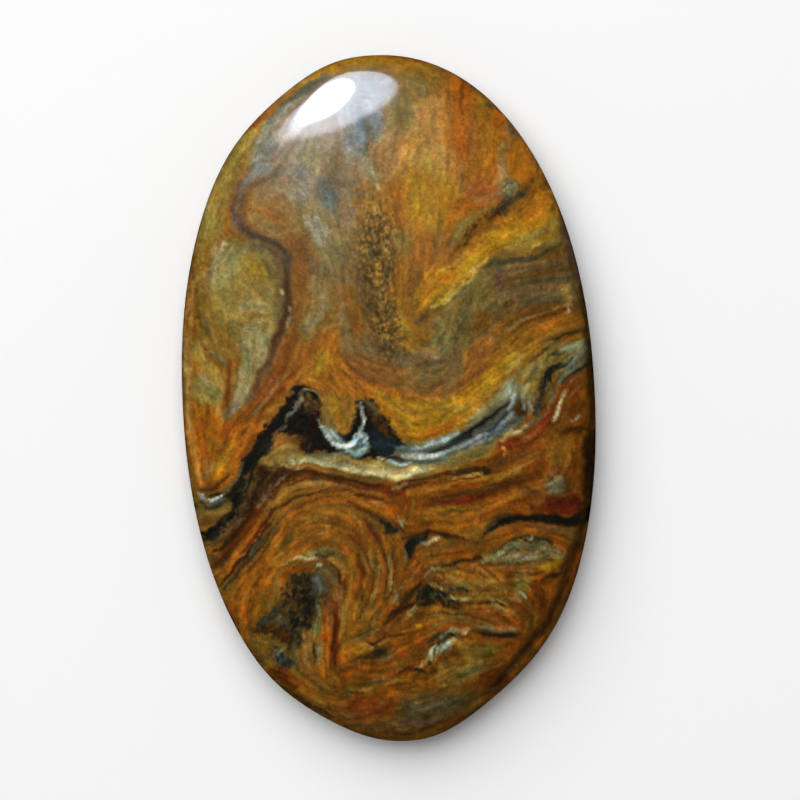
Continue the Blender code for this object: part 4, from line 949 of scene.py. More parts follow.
LOWER_SWIRL = [
    patch("orange", 0.95, 8, 236, 560, 256, 538, 272, 512, 286, 506, 290, 540, 276, 566, 268, 600, 262, 628,
        240, 625, 226, 596),
    patch("amber", 0.98, 8, 278, 560, 288, 530, 302, 506, 330, 497, 356, 504, 374, 522, 384, 548, 382, 590,
        374, 640, 350, 660, 342, 620, 346, 572, 330, 556, 300, 560),
    patch("orange", 0.92, 7, 290, 545, 296, 522, 312, 506, 336, 503, 358, 512, 366, 530, 372, 560, 352, 548,
        330, 543, 306, 548, strength=0.5),
    patch("rust", 0.9, 10, 284, 556, 294, 520, 316, 500, 346, 500, 372, 516, 388, 545, 384, 600, 360, 604,
        356, 566, 330, 546, 302, 552, strength=0.35),
    vein("tan", 0.95, 2.6, (2, 3.4, 3, 2.4, 2), 270, 508, 283, 494, 299, 485, 320, 481, 346, 485),
    vein("gold", 0.95, 2.4, (1.5, 3, 3), 276, 503, 289, 495, 304, 487),
    vein("umber", 1.5, 1.5, (0.5, 1, 1.1, 0.8), 272, 500, 283, 488, 300, 480, 322, 476),
    vein("brown", 0.9, 1.4, (0.5, 0.9, 0.9, 0.5), 284, 499, 294, 491, 308, 486, 326, 485),
    vein("umber", 1.4, 1.6, (1, 1.8, 1.9, 1.5, 1.2, 1), 266, 520, 275, 508, 287, 500, 302, 494, 322, 490,
        346, 490),
    vein("bark", 1.15, 2.6, (2.4, 3.4, 3.4, 2.4), 216, 566, 232, 549, 247, 531, 261, 510),
    vein("rust", 1.1, 2.2, (1.5, 2.6, 2.8, 2.4, 1.5), 220, 573, 236, 558, 250, 542, 261, 525, 271, 509),
    vein("tan", 0.92, 1.6, (0.6, 1.3, 1.4, 1), 226, 572, 240, 558, 252, 544, 262, 529),
    vein("oxblood", 0.78, 1.8, (0.8, 1.6, 1.9, 1.4), 244, 550, 254, 538, 264, 523, 273, 509),
    vein("russet", 0.9, 2, (1, 2, 2, 1.4), 240, 562, 252, 549, 264, 535, 274, 518),
    vein("umber", 0.95, 1.8, (1.2, 2, 1.9, 1.6, 1.2), 222, 582, 236, 567, 248, 552, 259, 538, 269, 524),
    vein("moss", 1.05, 2, (1.2, 2, 2.2, 2, 1.4), 226, 588, 240, 571, 253, 555, 266, 539, 280, 521),
    vein("moss", 1.4, 2.2, (1, 2.6, 1.4), 252, 552, 257, 545, 263, 538),
    vein("drab", 0.9, 2, (0.8, 1.6, 1.6, 1), 272, 530, 280, 519, 290, 508, 302, 501),
    vein("umber", 1.3, 1.6, (0.6, 1.2, 1.2, 0.8), 246, 573, 258, 558, 270, 542, 282, 524, strength=0.8),
    vein("umber", 1.5, 1.5, (0.6, 1.2, 1.1, 0.8), 292, 509, 306, 502, 326, 496, 350, 496, strength=0.8),
    vein("brown", 1, 1.5, (0.6, 1.1, 1.1, 0.6), 330, 503, 352, 506, 368, 515, 378, 529),
    vein("oxblood", 0.88, 2, (1, 2.2, 2.2, 1.4), 346, 484, 368, 488, 388, 492, 404, 492),
    vein("bark", 1, 1.6, (0.8, 1.7, 1.7, 1.2), 336, 486, 354, 491, 371, 496, 388, 503),
    vein("umber", 1, 1.6, (0.8, 1.6, 1.8, 1.4), 300, 470, 326, 473, 352, 479, 382, 487),
    vein("orange", 0.98, 2, (1, 2.4, 2, 1.4), 352, 499, 370, 503, 388, 510, 402, 518),
    vein("blush", 0.8, 1.4, (0.5, 1, 1, 0.5), 364, 499, 372, 502, 380, 503, 388, 506),
    vein("bark", 1.1, 2, (1, 2.3, 2.3, 1.8), 350, 500, 364, 507, 375, 514, 385, 522),
    patch("moss", 0.78, 2.4, 377, 516, 385, 517, 402, 525, 400, 532, 388, 531, 381, 525, fray=1),
    vein("olive", 0.85, 1.8, (0.8, 1.6, 1), 366, 513, 374, 520, 380, 529),
    vein("khaki", 0.96, 3.4, (1.5, 2.6, 2.4, 1.4), 308, 521, 318, 517, 326, 519, 330, 526),
    vein("olive", 1.2, 2.6, (1, 2, 1.4), 314, 529, 322, 531, 328, 527, strength=0.7),
    vein("rust", 1, 3, (1.6, 4, 2.4), 301, 541, 309, 543, 318, 541),
    vein("bronze", 0.95, 3, (1, 2, 1.6), 288, 516, 292, 530, 286, 544),
    vein("oxblood", 0.85, 2.6, (1, 2.6, 2.6, 1.4), 364, 516, 369, 524, 375, 531, 382, 540),
    vein("olive", 1.05, 2, (0.8, 1.4, 1), 354, 512, 359, 520, 362, 530, strength=0.7),
    vein("brown", 0.85, 2, (0.8, 1.4, 1.4, 0.8), 345, 534, 360, 544, 368, 558, 372, 576),
    vein("umber", 1.4, 1.6, (0.6, 1.2, 1.2, 0.8), 378, 536, 385, 552, 387, 572, 384, 592),
    vein("orange", 0.88, 4, (3, 4.5, 4.5, 3), 292, 560, 276, 575, 264, 592, 254, 608),
    vein("rust", 1.05, 4, (3, 5, 4), 250, 580, 242, 598, 245, 614),
    vein("straw", 0.82, 1.8, (0.8, 1.7, 1.8, 1.6, 1.2), 294, 561, 283, 567, 277, 579, 275, 592, 273, 605),
    patch("brown", 0.98, 4, 300, 562, 330, 560, 343, 575, 341, 600, 330, 620, 325, 600, 322, 575),
    vein("russet", 0.92, 2.6, (2, 3.5, 2.5), 286, 575, 298, 569, 313, 566),
    vein("straw", 0.72, 1.9, (1, 2.2, 2.6, 2.2, 1.4), 303, 553, 315, 551, 328, 549, 340, 552, 347, 560,
        fray=1.2),
    vein("lichen", 0.85, 1.5, (0.5, 1, 1, 0.5), 308, 552, 318, 550, 330, 548, 340, 551, fray=1, grain=0.3),
    vein("cream", 0.86, 1.4, (0.5, 1.1, 1.3, 1.1, 0.5), 282, 562.5, 291, 560, 300, 556.5, 310, 555,
        320, 557, fray=0.4),
    vein("moss", 1, 1.6, (0.8, 1.6, 1), 318, 554, 328, 556, 336, 553),
    vein("cream", 0.88, 1.5, 1.2, 319, 563, 322, 564, strength=0.8),
    vein("tan", 1, 1.6, (0.8, 1.7, 1.8, 1.2), 330, 559, 338, 563, 343.5, 570, 344, 578, fray=0.6),
    vein("umber", 1.2, 1.4, (0.5, 1, 0.9), 334, 565, 340, 572, 341, 582),
    vein("khaki", 1, 1.7, (0.8, 1.6, 1.6, 1), 350, 556, 353, 568, 350, 584, 346, 600),
    vein("bark", 1.2, 2.6, (1.5, 3, 3, 2), 358, 553, 362, 568, 362, 584, 356, 598),
    vein("orange", 0.86, 3.6, (3, 4.5, 4.5, 3.5), 364, 580, 362, 602, 355, 622, 350, 640),
    vein("straw", 0.82, 1.9, (1, 2, 2.2, 1.8, 1), 372, 546, 376, 562, 377, 580, 373, 598, 366, 614),
    vein("umber", 1.5, 1.4, (0.5, 1, 1, 0.5), 369, 556, 372, 576, 369, 596, 361, 616),
    vein("umber", 1.4, 1.5, (0.6, 1.1, 1, 0.6), 393, 552, 395, 572, 391, 592, 386, 604),
    vein("fawn", 0.84, 1.3, (0.4, 0.8, 0.8, 0.5), 389, 556, 391, 570, 391, 582, 389, 592),
    patch("moss", 0.84, 4, 286, 588, 300, 573, 316, 568, 328, 580, 326, 600, 320, 620, 308, 640, 292, 648,
        276, 642, 256, 638, 258, 624, 272, 611, 284, 602, fray=3),
    vein("olive", 0.85, 2.6, (1, 2, 2, 1), 294, 585, 292, 600, 283, 612, 272, 620, grain=0.6),
    vein("ink", 1.3, 3, (1.5, 3, 3, 3, 1.6), 313, 588, 305, 600, 307, 614, 300, 626, 294, 640, fray=2,
        grain=0.4),
    vein("bronze", 0.75, 2, (1, 1.8, 1.4), 290, 580, 295, 592, 301, 602, grain=0.5),
    vein("ink", 1.5, 2, (1, 2, 1), 292, 576, 304, 574, 312, 580, grain=0.6),
    patch("bronze", 0.85, 5, 282, 592, 298, 573, 314, 570, 322, 592, 318, 620, 306, 644, 280, 642, 262, 630,
        280, 608, strength=0.6, grain=1),
    patch("ink", 1, 5, 284, 590, 300, 578, 312, 584, 316, 604, 308, 632, 290, 644, 270, 634, 286, 610,
        strength=0.7, grain=1),
    patch("slate", 0.88, 3, 314, 573, 326, 572, 329, 584, 324, 592, 315, 589, fray=1.5),
    vein("steel", 0.72, 2, (0.8, 1.6, 1), 318, 576, 321, 582, 323, 588, grain=0.5),
    vein("slate", 0.72, 3.4, (2, 3.5, 2.4), 264, 622, 276, 618, 287, 624),
    patch("bark", 1.1, 3.4, 252, 630, 268, 627, 284, 628, 290, 636, 280, 641, 258, 640, fray=3,
        strength=0.7),
    vein("slate", 0.98, 2, (0.8, 1.6, 1.6, 1), 321, 594, 318, 606, 320, 618, 315, 630),
    patch("bronze", 0.95, 3, 250, 636, 268, 634, 284, 640, 286, 654, 270, 662, 258, 654, fray=2),
    vein("gold", 0.8, 3, (1, 3, 3, 1.4), 258, 640, 265, 646, 273, 648, 280, 644, grain=0.4),
    vein("lichen", 0.78, 1.7, (0.6, 1.4, 1), 272, 657, 277, 653, 283, 650),
    vein("umber", 1.2, 2.4, (1, 2, 1.6), 284, 633, 290, 643, 288, 652),
    patch("midnight", 0.95, 3.4, 272, 650, 282, 646, 290, 652, 294, 662, 285, 669, 275, 664, fray=2.4,
        grain=0.3),
    vein("lichen", 0.85, 1.7, (0.5, 1.4, 0.8), 270, 656, 277, 652, 284, 648, fray=1),
    vein("slate", 0.9, 1.8, (0.5, 1.2, 0.8), 278, 664, 283, 660, 287, 655, fray=1),
    vein("taupe", 0.72, 2.4, (1, 2.2, 2.4, 1.6), 296, 634, 293, 644, 294, 655, 297, 666),
    patch("tan", 0.82, 3, 303, 632, 309, 629, 313, 640, 312, 656, 306, 668, 302, 652, fray=1.5),
    vein("caramel", 0.92, 3.4, (2, 3.4, 3), 306, 664, 314, 676, 322, 688),
    vein("olive", 1.2, 2.4, (1, 2.4, 1.8), 320, 606, 318, 620, 314, 634),
    vein("straw", 0.85, 1.6, (0.6, 1.2, 0.8), 316, 610, 313, 622, 311, 632),
    vein("ink", 1.5, 1.8, (0.8, 2, 1.2), 315, 641, 315.5, 648, 317, 655, fray=0.6),
    vein("lichen", 0.86, 1.8, (0.8, 1.7, 1.7, 0.8), 320, 636, 320.5, 646, 320, 654, 317, 662, fray=0.6),
    vein("rust", 0.88, 2.4, (1.6, 3, 3, 2.4), 326, 606, 327, 622, 328, 648, 330, 676),
    vein("brick", 0.9, 2, (1, 2, 1.6), 328, 608, 329, 616, 330, 624),
    vein("oxblood", 0.85, 2.2, (1.6, 2.8, 3, 2), 335, 602, 337, 620, 336, 640, 333, 662),
    vein("bark", 0.8, 1.6, (0.8, 1.6, 1.6, 0.8), 336, 614, 335.5, 626, 335, 638, 333, 648, fray=0.6),
    vein("orange", 0.98, 2, (0.8, 1.8, 1.2), 331, 664, 331, 671, 330, 678),
    vein("bronze", 0.98, 1.6, (0.6, 1.2, 0.8), 342, 600, 344, 616, 342, 632),
]

LOWER_RIGHT = [
    vein("straw", 0.9, 1.7, (0.8, 1.8, 2, 1.2), 414, 477, 436, 470, 460, 461, 484, 452, fray=0.6),
    patch("umber", 1.05, 2, 446, 474, 458, 468, 474, 465, 490, 466, 492, 472, 478, 475, 462, 476, fray=1),
    vein("bark", 0.95, 1.7, (1, 1.8, 1.8, 1), 398, 480, 418, 479, 436, 475, 452, 470),
    vein("brown", 0.85, 2, (1, 2, 2, 1.4), 488, 466, 502, 460, 516, 455, 530, 449),
    vein("amber", 1.08, 2.6, (2, 3.4, 3.6, 3, 2.4), 408, 491, 438, 485, 468, 480, 498, 475, 524, 466),
    vein("bark", 1.25, 1.5, (0.6, 1.2, 1.2, 0.6), 420, 484, 440, 481, 460, 479, 478, 477),
    vein("tan", 0.9, 1.6, (0.6, 1.2, 0.8), 446, 478, 468, 475, 490, 474),
    vein("russet", 1, 2.6, (2, 3.4, 3.4, 2.4), 478, 461, 500, 455, 522, 446, 544, 436),
    vein("chestnut", 0.95, 2.4, (1.5, 2.6, 3.4, 3.4, 2.4), 424, 505, 452, 500, 480, 492, 508, 484,
        538, 476),
    vein("umber", 1.4, 1.6, (0.6, 1.4, 1.5, 1.2, 0.8), 428, 498, 454, 495, 482, 487, 510, 479, 536, 473),
    vein("oxblood", 0.88, 2.4, (1.2, 2.8, 3, 2), 440, 502, 456, 500, 474, 497, 490, 491),
    vein("orange", 0.9, 3.4, (3, 5, 5, 4, 3), 420, 514, 450, 516, 480, 509, 510, 496, 540, 488),
    vein("gold", 0.9, 2.2, (0.8, 1.8, 1.6), 424, 510, 440, 508, 456, 509),
    vein("brown", 0.98, 1.6, (0.6, 1.2, 1.2, 0.6), 424, 520, 444, 523, 464, 520, 482, 512),
    vein("umber", 1.8, 1.5, (0.5, 1, 1, 0.6), 430, 513, 452, 512, 474, 507, 496, 499),
    vein("yellow", 0.72, 2, (0.8, 1.7, 1.6, 1), 413, 492, 412, 502, 411, 510, 406, 519),
    vein("umber", 1.6, 1.5, (0.5, 1, 0.8), 405, 496, 405, 505, 402, 512),
    vein("brick", 0.88, 2.8, (1.5, 2.8, 3, 2), 518, 492, 530, 490, 538, 498, 530, 506),
    vein("tan", 0.85, 2.6, (1, 2.2, 1.8), 508, 472, 518, 468, 528, 459),
    vein("caramel", 0.98, 3.4, (2, 3.4, 3.4, 2.4), 530, 458, 545, 450, 552, 462, 548, 474),
    patch("amber", 0.98, 5, 545, 440, 568, 437, 574, 455, 564, 470, 548, 466),
    vein("tan", 1, 1.8, (1, 1.8, 1.2), 502, 446, 505, 449, 503, 453),
    vein("russet", 1.08, 3, (2, 3, 2.6), 572, 450, 575, 460, 570, 470),
    patch("brick", 0.85, 4, 548, 470, 564, 472, 574, 486, 572, 496, 556, 500, 540, 494),
    patch("lichen", 0.84, 3.4, 545, 482, 557, 478, 567, 487, 561, 496, 549, 493, fray=2),
    vein("sand", 0.88, 2.4, (0.8, 1.8, 1.2), 550, 489, 556, 487, 561, 483, fray=1.5),
    patch("oxblood", 0.76, 4, 546, 500, 568, 495, 580, 502, 568, 512, 548, 511, fray=3),
    vein("chestnut", 0.85, 2.6, (1.5, 3, 2), 528, 504, 534, 508, 542, 510),
    # Painted shade: dark patch along the right edge, which turns away from the light
    patch("umber", 1.2, 3.4, 583, 440, 594, 430, 598, 470, 596, 505, 586, 512, 585, 480, fray=1.5),
    vein("ink", 1.1, 2, (1, 2, 2.6, 2.8, 3, 3.6, 5, 7), 481, 536, 489, 529, 498, 522, 511, 518, 530, 516.5,
        550, 517, 572, 520, 596, 512),
    vein("moss", 1.05, 1.6, (0.8, 1.4, 1.4, 1), 482, 530, 490, 522, 500, 516, 512, 513, fray=0.6,
        strength=0.8),
    vein("brown", 1.1, 2.6, (2, 3.4, 3.4, 2.4), 494, 535, 516, 526, 544, 525, 572, 532),
    vein("caramel", 0.9, 2, (0.8, 1.8, 1.6), 504, 527, 516, 524, 530, 524),
    vein("rust", 1, 2.6, (2, 3.6, 3.6, 2.4), 500, 538, 524, 531, 550, 533, 572, 542),
    patch("orange", 0.88, 4, 424, 516, 455, 517, 476, 519, 480, 527, 464, 534, 440, 530),
    patch("ink", 1.25, 2, 404, 552, 407, 541, 416, 533, 430, 527, 428, 537, 418, 544, 411, 556, fray=0.8),
    vein("umber", 0.98, 1.8, (1.2, 2.4, 2.2, 1.6, 1.2), 404, 536, 420, 531, 434, 531, 448, 535, 464, 537),
    vein("umber", 1.15, 1.7, (1.2, 1.7, 1.7, 1), 446, 535, 462, 538, 476, 539, 487, 535),
    vein("oxblood", 0.85, 2, (1, 2, 2, 1.2), 394, 518, 402, 525, 408, 531, 416, 529),
    vein("cream", 0.82, 1.5, (0.6, 1.4, 0.8), 400, 513, 403, 518, 404, 524, fray=0.6),
    vein("moss", 0.8, 1.8, (1, 2, 1.4), 419, 538, 424, 533, 430, 530),
    vein("frost", 0.82, 1.6, (0.8, 1.4, 1), 422, 541, 427, 542, 431, 540, fray=0.6),
    vein("cream", 0.96, 1.7, (1, 2, 2, 1.2), 427, 542, 432, 541, 437, 539, 441, 536, fray=0.6),
    vein("taupe", 0.9, 1.8, (0.8, 1.4, 0.8), 403, 546, 405, 552, 404, 558),
    vein("rust", 1.02, 3, (3, 5, 5, 4, 3), 424, 552, 448, 546, 478, 543, 506, 533, 528, 527),
    vein("caramel", 0.85, 2, (1, 2, 2, 1), 430, 548, 452, 543, 476, 541, 496, 536),
    vein("umber", 1.7, 1.5, (0.5, 1.1, 1.1, 0.6), 426, 558, 448, 552, 472, 549, 494, 542, strength=0.8),
    vein("umber", 0.85, 1.6, (0.8, 1.6, 1.7, 1.7, 1.4), 422, 569, 438, 563, 458, 560, 480, 556, 500, 546,
        fray=0.6),
    patch("moss", 0.78, 2, 498, 547, 512, 539, 528, 534, 546, 536, 552, 543, 530, 541, 512, 547, fray=1),
    patch("olive", 1.02, 3, 482, 553, 500, 548, 516, 541, 536, 539, 556, 548, 568, 558, 550, 562, 530, 563,
        510, 562, 490, 563, fray=1.5),
    patch("lichen", 0.84, 3, 488, 555, 504, 549, 520, 544, 540, 542, 556, 551, 560, 559, 530, 561, 506, 560,
        fray=2),
    vein("moss", 1.05, 1.8, (0.8, 1.6, 1.4, 0.8), 498, 556, 510, 551, 524, 548, 538, 546, fray=1.6),
    vein("moss", 1.1, 1.8, (0.6, 1.4, 1.4, 0.6), 512, 560, 526, 556, 540, 552, 552, 556, fray=1.6),
    vein("lichen", 0.98, 1.8, (1, 2, 2, 1), 480, 558, 488, 554, 497, 553, 505, 549, fray=1, grain=0.35),
    patch("straw", 1, 4, 484, 555, 504, 548, 524, 541, 544, 541, 562, 553, 558, 562, 530, 563, 504, 562,
        strength=0.5, grain=1),
    vein("stone", 0.9, 1.6, (0.6, 1.4, 1), 479, 561, 486, 558, 492, 556, grain=0.4),
    vein("stone", 1, 1.8, (0.8, 2.2, 1.6), 514, 556, 525, 557, 536, 553, fray=1.6, grain=0.4),
    vein("stone", 0.9, 1.8, (0.6, 1.6, 1), 542, 545, 548, 550, 555, 555, grain=0.4),
    vein("stone", 0.95, 1.4, 0.7, 530.5, 534, 530, 539, fray=1),
    vein("moss", 0.8, 1.6, (0.6, 1, 0.6), 524, 539, 530, 541.5, 536, 540, fray=1.2),
    vein("moss", 0.98, 1.6, (0.8, 1.4, 1), 486, 565, 502, 564, 518, 565),
    patch("gold", 0.94, 3, 538, 562, 552, 559, 564, 564, 553, 571, 541, 569, fray=1.5),
    patch("straw", 0.88, 3, 514, 572, 524, 568, 531, 578, 528, 590, 518, 598, 513, 586, fray=1.5),
    vein("yellow", 0.75, 2, (0.8, 1.6, 1), 524, 578, 527, 586, 522, 594),
    vein("cream", 0.78, 1.5, (0.6, 1.3, 0.8), 519, 590, 522, 594, 525, 598),
    vein("brick", 1.06, 2.4, (1.2, 2.8, 3, 2, 1.2), 470, 566, 484, 567, 500, 567, 516, 567, 530, 568,
        fray=1.6),
    vein("umber", 1.6, 1.5, (0.5, 1, 1, 0.6), 484, 571, 500, 571, 514, 573, 528, 571, strength=0.8),
    patch("amber", 1, 4, 456, 572, 478, 573, 502, 574, 510, 586, 500, 596, 478, 594, 466, 586, grain=0.25),
    vein("tan", 0.95, 2, (1, 2, 1.4), 470, 578, 482, 582, 494, 580, grain=0.5),
    vein("brown", 1, 1.8, (0.8, 1.6, 1.4, 0.8), 476, 588, 490, 589, 502, 584, 510, 577),
    vein("brick", 0.85, 3, (2, 3.4, 3.4), 506, 588, 511, 598, 521, 606),
    vein("blush", 0.85, 2, (0.8, 1.8, 1), 508, 594, 514, 597, 519, 600, strength=0.7),
    vein("umber", 1, 2.2, (1.2, 2.4, 1.6), 544, 578, 555, 573, 565, 566),
    vein("chestnut", 0.98, 3.4, (2, 4, 3), 534, 584, 541, 594, 538, 608),
    vein("khaki", 1.1, 1.8, (1, 1.8, 1.8, 1.2), 426, 571, 434, 566, 446, 567, 456, 571, grain=0.3),
    vein("cream", 0.72, 1.4, (0.5, 1, 0.5), 433, 569, 439, 567.5, 445, 569),
    patch("moss", 0.7, 2.4, 418, 592, 423, 581, 429, 576, 438, 585, 449, 591, 460, 600, 440, 603, 420, 601,
        fray=1.6),
    vein("moss", 0.78, 1.8, (1, 2.4, 2.4, 1.6), 434, 578, 444, 586, 456, 587, 466, 590),
    vein("straw", 0.94, 1.6, (0.8, 1.7, 1.7, 1.2), 440, 581, 450, 578, 459, 582, 466, 588, fray=1,
        grain=0.3),
    vein("moss", 1, 1.5, (0.8, 1.4, 1), 446, 583, 454, 584, 460, 589),
    vein("sand", 0.96, 1.4, (0.7, 1.3, 1.6, 1.4, 1.2, 0.6), 427, 572, 428, 579, 433, 584, 440, 588,
        447, 592, 454, 596, fray=1.2, grain=0.3),
    vein("stone", 1, 1.4, (0.4, 0.9, 0.9, 0.5), 429, 581, 434, 585, 441, 588.5, 448, 593, fray=1),
    vein("mauve", 1, 1.6, (0.8, 1.4, 0.8), 424, 574, 428, 568, 432, 565),
    vein("sand", 0.78, 1.6, (0.5, 1.2, 1, 0.5), 456, 597, 464, 597, 471, 593, 478, 590, fray=1.4),
    vein("khaki", 1.05, 1.6, (0.8, 1.4, 1.4, 0.8), 468, 598, 480, 597, 492, 598, 502, 602),
    vein("umber", 0.85, 2, (1.4, 2.6, 2.6, 2.4, 2, 1.2), 394, 614, 406, 605, 418, 600.5, 438, 601, 464, 602,
        492, 603),
    vein("umber", 1.05, 2.2, (1.4, 2.6, 2.8, 2.2), 386, 622, 395, 610, 407, 597, 420, 583, fray=1),
    vein("fawn", 0.84, 1.4, (0.5, 0.9, 0.9, 0.5), 396, 600, 401, 590, 407, 581, 416, 570, fray=0.6),
    vein("umber", 1.8, 1.4, (0.5, 0.9, 0.9, 0.5), 399, 598, 405, 586, 413, 575, 424, 563, fray=0.6),
    vein("cream", 0.78, 1.4, (0.6, 1.2, 1, 0.6), 394, 600, 397, 593, 401, 588, 405, 586, fray=0.6),
    vein("lichen", 1.02, 1.8, (1.2, 2.4, 1.4), 410, 612, 414, 607, 417, 602, fray=1, grain=0.4),
    vein("sand", 0.78, 1.6, (0.8, 1.5, 0.8), 402, 613, 407, 609, 412, 605),
    vein("lichen", 1.12, 1.6, (0.8, 1.8, 1.8, 1), 487, 608, 490, 606, 494, 606, 498, 610, grain=0.35),
    vein("umber", 0.9, 1.6, (0.6, 1.2, 0.8), 493, 601, 500, 603, 503, 608),
    vein("straw", 0.8, 1.8, (0.8, 1.6, 1), 500, 608, 507, 612, 514, 612, grain=0.4),
    patch("orange", 0.9, 3.6, 420, 607, 440, 605, 460, 609, 452, 617, 428, 621),
    patch("straw", 1.05, 6, 430, 565, 456, 562, 500, 574, 506, 604, 470, 614, 430, 612, 424, 600,
        strength=0.4, grain=1),
    vein("umber", 1.6, 1.4, (0.4, 0.9, 0.9, 0.4), 420, 611, 440, 609, 462, 612, 486, 619, fray=1),
    vein("umber", 1.8, 1.4, (0.4, 0.9, 0.9, 0.4), 478, 560, 496, 577, 506, 583, 524, 580, fray=1),
    vein("straw", 0.9, 1.4, (0.4, 0.9, 0.9, 0.4), 428, 616, 446, 613, 466, 616, 490, 624, fray=1),
    vein("gold", 1.05, 1.8, (0.8, 1.8, 1), 413, 622, 417, 621, 421, 623),
    vein("caramel", 0.85, 2.6, (1.5, 3, 2.4), 470, 612, 488, 617, 502, 622),
    vein("olive", 0.8, 2, (1.2, 2.2, 2.4, 2, 1.2), 430, 628, 440, 620, 454, 617, 468, 620, 482, 623,
        fray=1),
    vein("moss", 0.72, 2, (1, 2.2, 2.4, 1.6), 428, 640, 438, 632, 450, 631, 462, 637),
    vein("moss", 0.7, 2, (1, 2.2, 2.2, 1), 428, 662, 431, 650, 436, 642, 446, 634),
    vein("lichen", 0.95, 1.5, (0.8, 1.4, 1.5, 1.4, 0.8), 440, 634, 445, 629, 454, 626, 464, 627, 472, 630,
        fray=0.6),
    vein("lichen", 0.88, 1.5, (0.6, 1.2, 1), 451, 629, 455, 633, 460, 636, fray=0.6),
    vein("cream", 0.82, 1.5, (0.8, 1.5, 0.8), 463, 633, 466, 631, 469, 630, fray=0.6),
    patch("drab", 0.98, 2, 434, 643, 445, 636, 455, 640, 450, 649, 438, 653, fray=1.6),
    patch("lichen", 1.02, 1.8, 436, 644, 443, 638, 451, 637, 449, 644, 440, 649, fray=1.8),
    vein("sand", 1, 1.4, (0.6, 1.4, 0.6), 439, 645, 443, 643, 448, 638, fray=1),
    vein("frost", 1, 1.3, (0.3, 0.7, 0.3), 441, 642, 444, 645, 447, 641, fray=1),
    patch("lichen", 1.05, 1.8, 427, 646, 432, 644, 434, 651, 432, 659, 427, 655, fray=1),
    vein("cream", 0.78, 1.4, (0.6, 1.2, 0.6), 430, 648, 430, 653, 430, 657),
    vein("ink", 1.8, 1.4, (0.5, 1.1, 0.5), 436, 645, 434.5, 652, 433, 659, fray=0.5),
    vein("cream", 0.86, 1.6, (0.8, 1.6, 0.8), 415, 665, 418.5, 663.5, 421, 661),
    vein("tan", 0.85, 2, (1, 2, 1.4), 423, 662, 426, 656, 424, 650),
    vein("caramel", 0.85, 1.8, (1, 1.8, 1), 390, 664, 396, 660, 400, 656),
    vein("ink", 1.5, 2, (0.6, 1.5, 1.9, 1.6, 0.6), 472, 630, 484, 632, 496, 634, 508, 635, 518, 633,
        fray=1),
    vein("mushroom", 0.82, 1.4, (0.5, 1, 1.1, 0.8, 0.4), 470, 625, 482, 626, 493, 627.5, 503, 629.5,
        514, 631, fray=0.5),
    patch("khaki", 0.92, 5, 456, 644, 474, 640, 494, 643, 500, 650, 486, 658, 466, 656),
    vein("gold", 0.78, 3, (1, 2.4, 2, 1), 470, 648, 480, 653, 490, 650, 500, 645),
    patch("bronze", 1.12, 6, 440, 662, 462, 660, 484, 664, 470, 684, 448, 690, 437, 678),
    vein("straw", 0.8, 1.6, (0.5, 1.1, 1.1, 0.5), 462, 666, 474, 662, 484, 660, 494, 657),
    vein("olive", 0.95, 2.4, (1, 2, 1.4), 466, 672, 478, 668, 492, 663),
    patch("russet", 0.92, 4, 480, 672, 496, 666, 508, 674, 498, 688, 482, 688),
    vein("oxblood", 0.62, 2, (0.8, 2, 1.6, 0.8), 490, 684, 497, 680, 502, 677, 506, 671),
    vein("toffee", 0.8, 4, (2, 4, 4, 2), 518, 612, 530, 620, 528, 640, 514, 655),
    vein("russet", 0.9, 3, (1.5, 3, 2), 512, 600, 522, 612, 520, 626),
    vein("cream", 0.8, 1.3, 1.1, 516, 663, 517.5, 664),
]

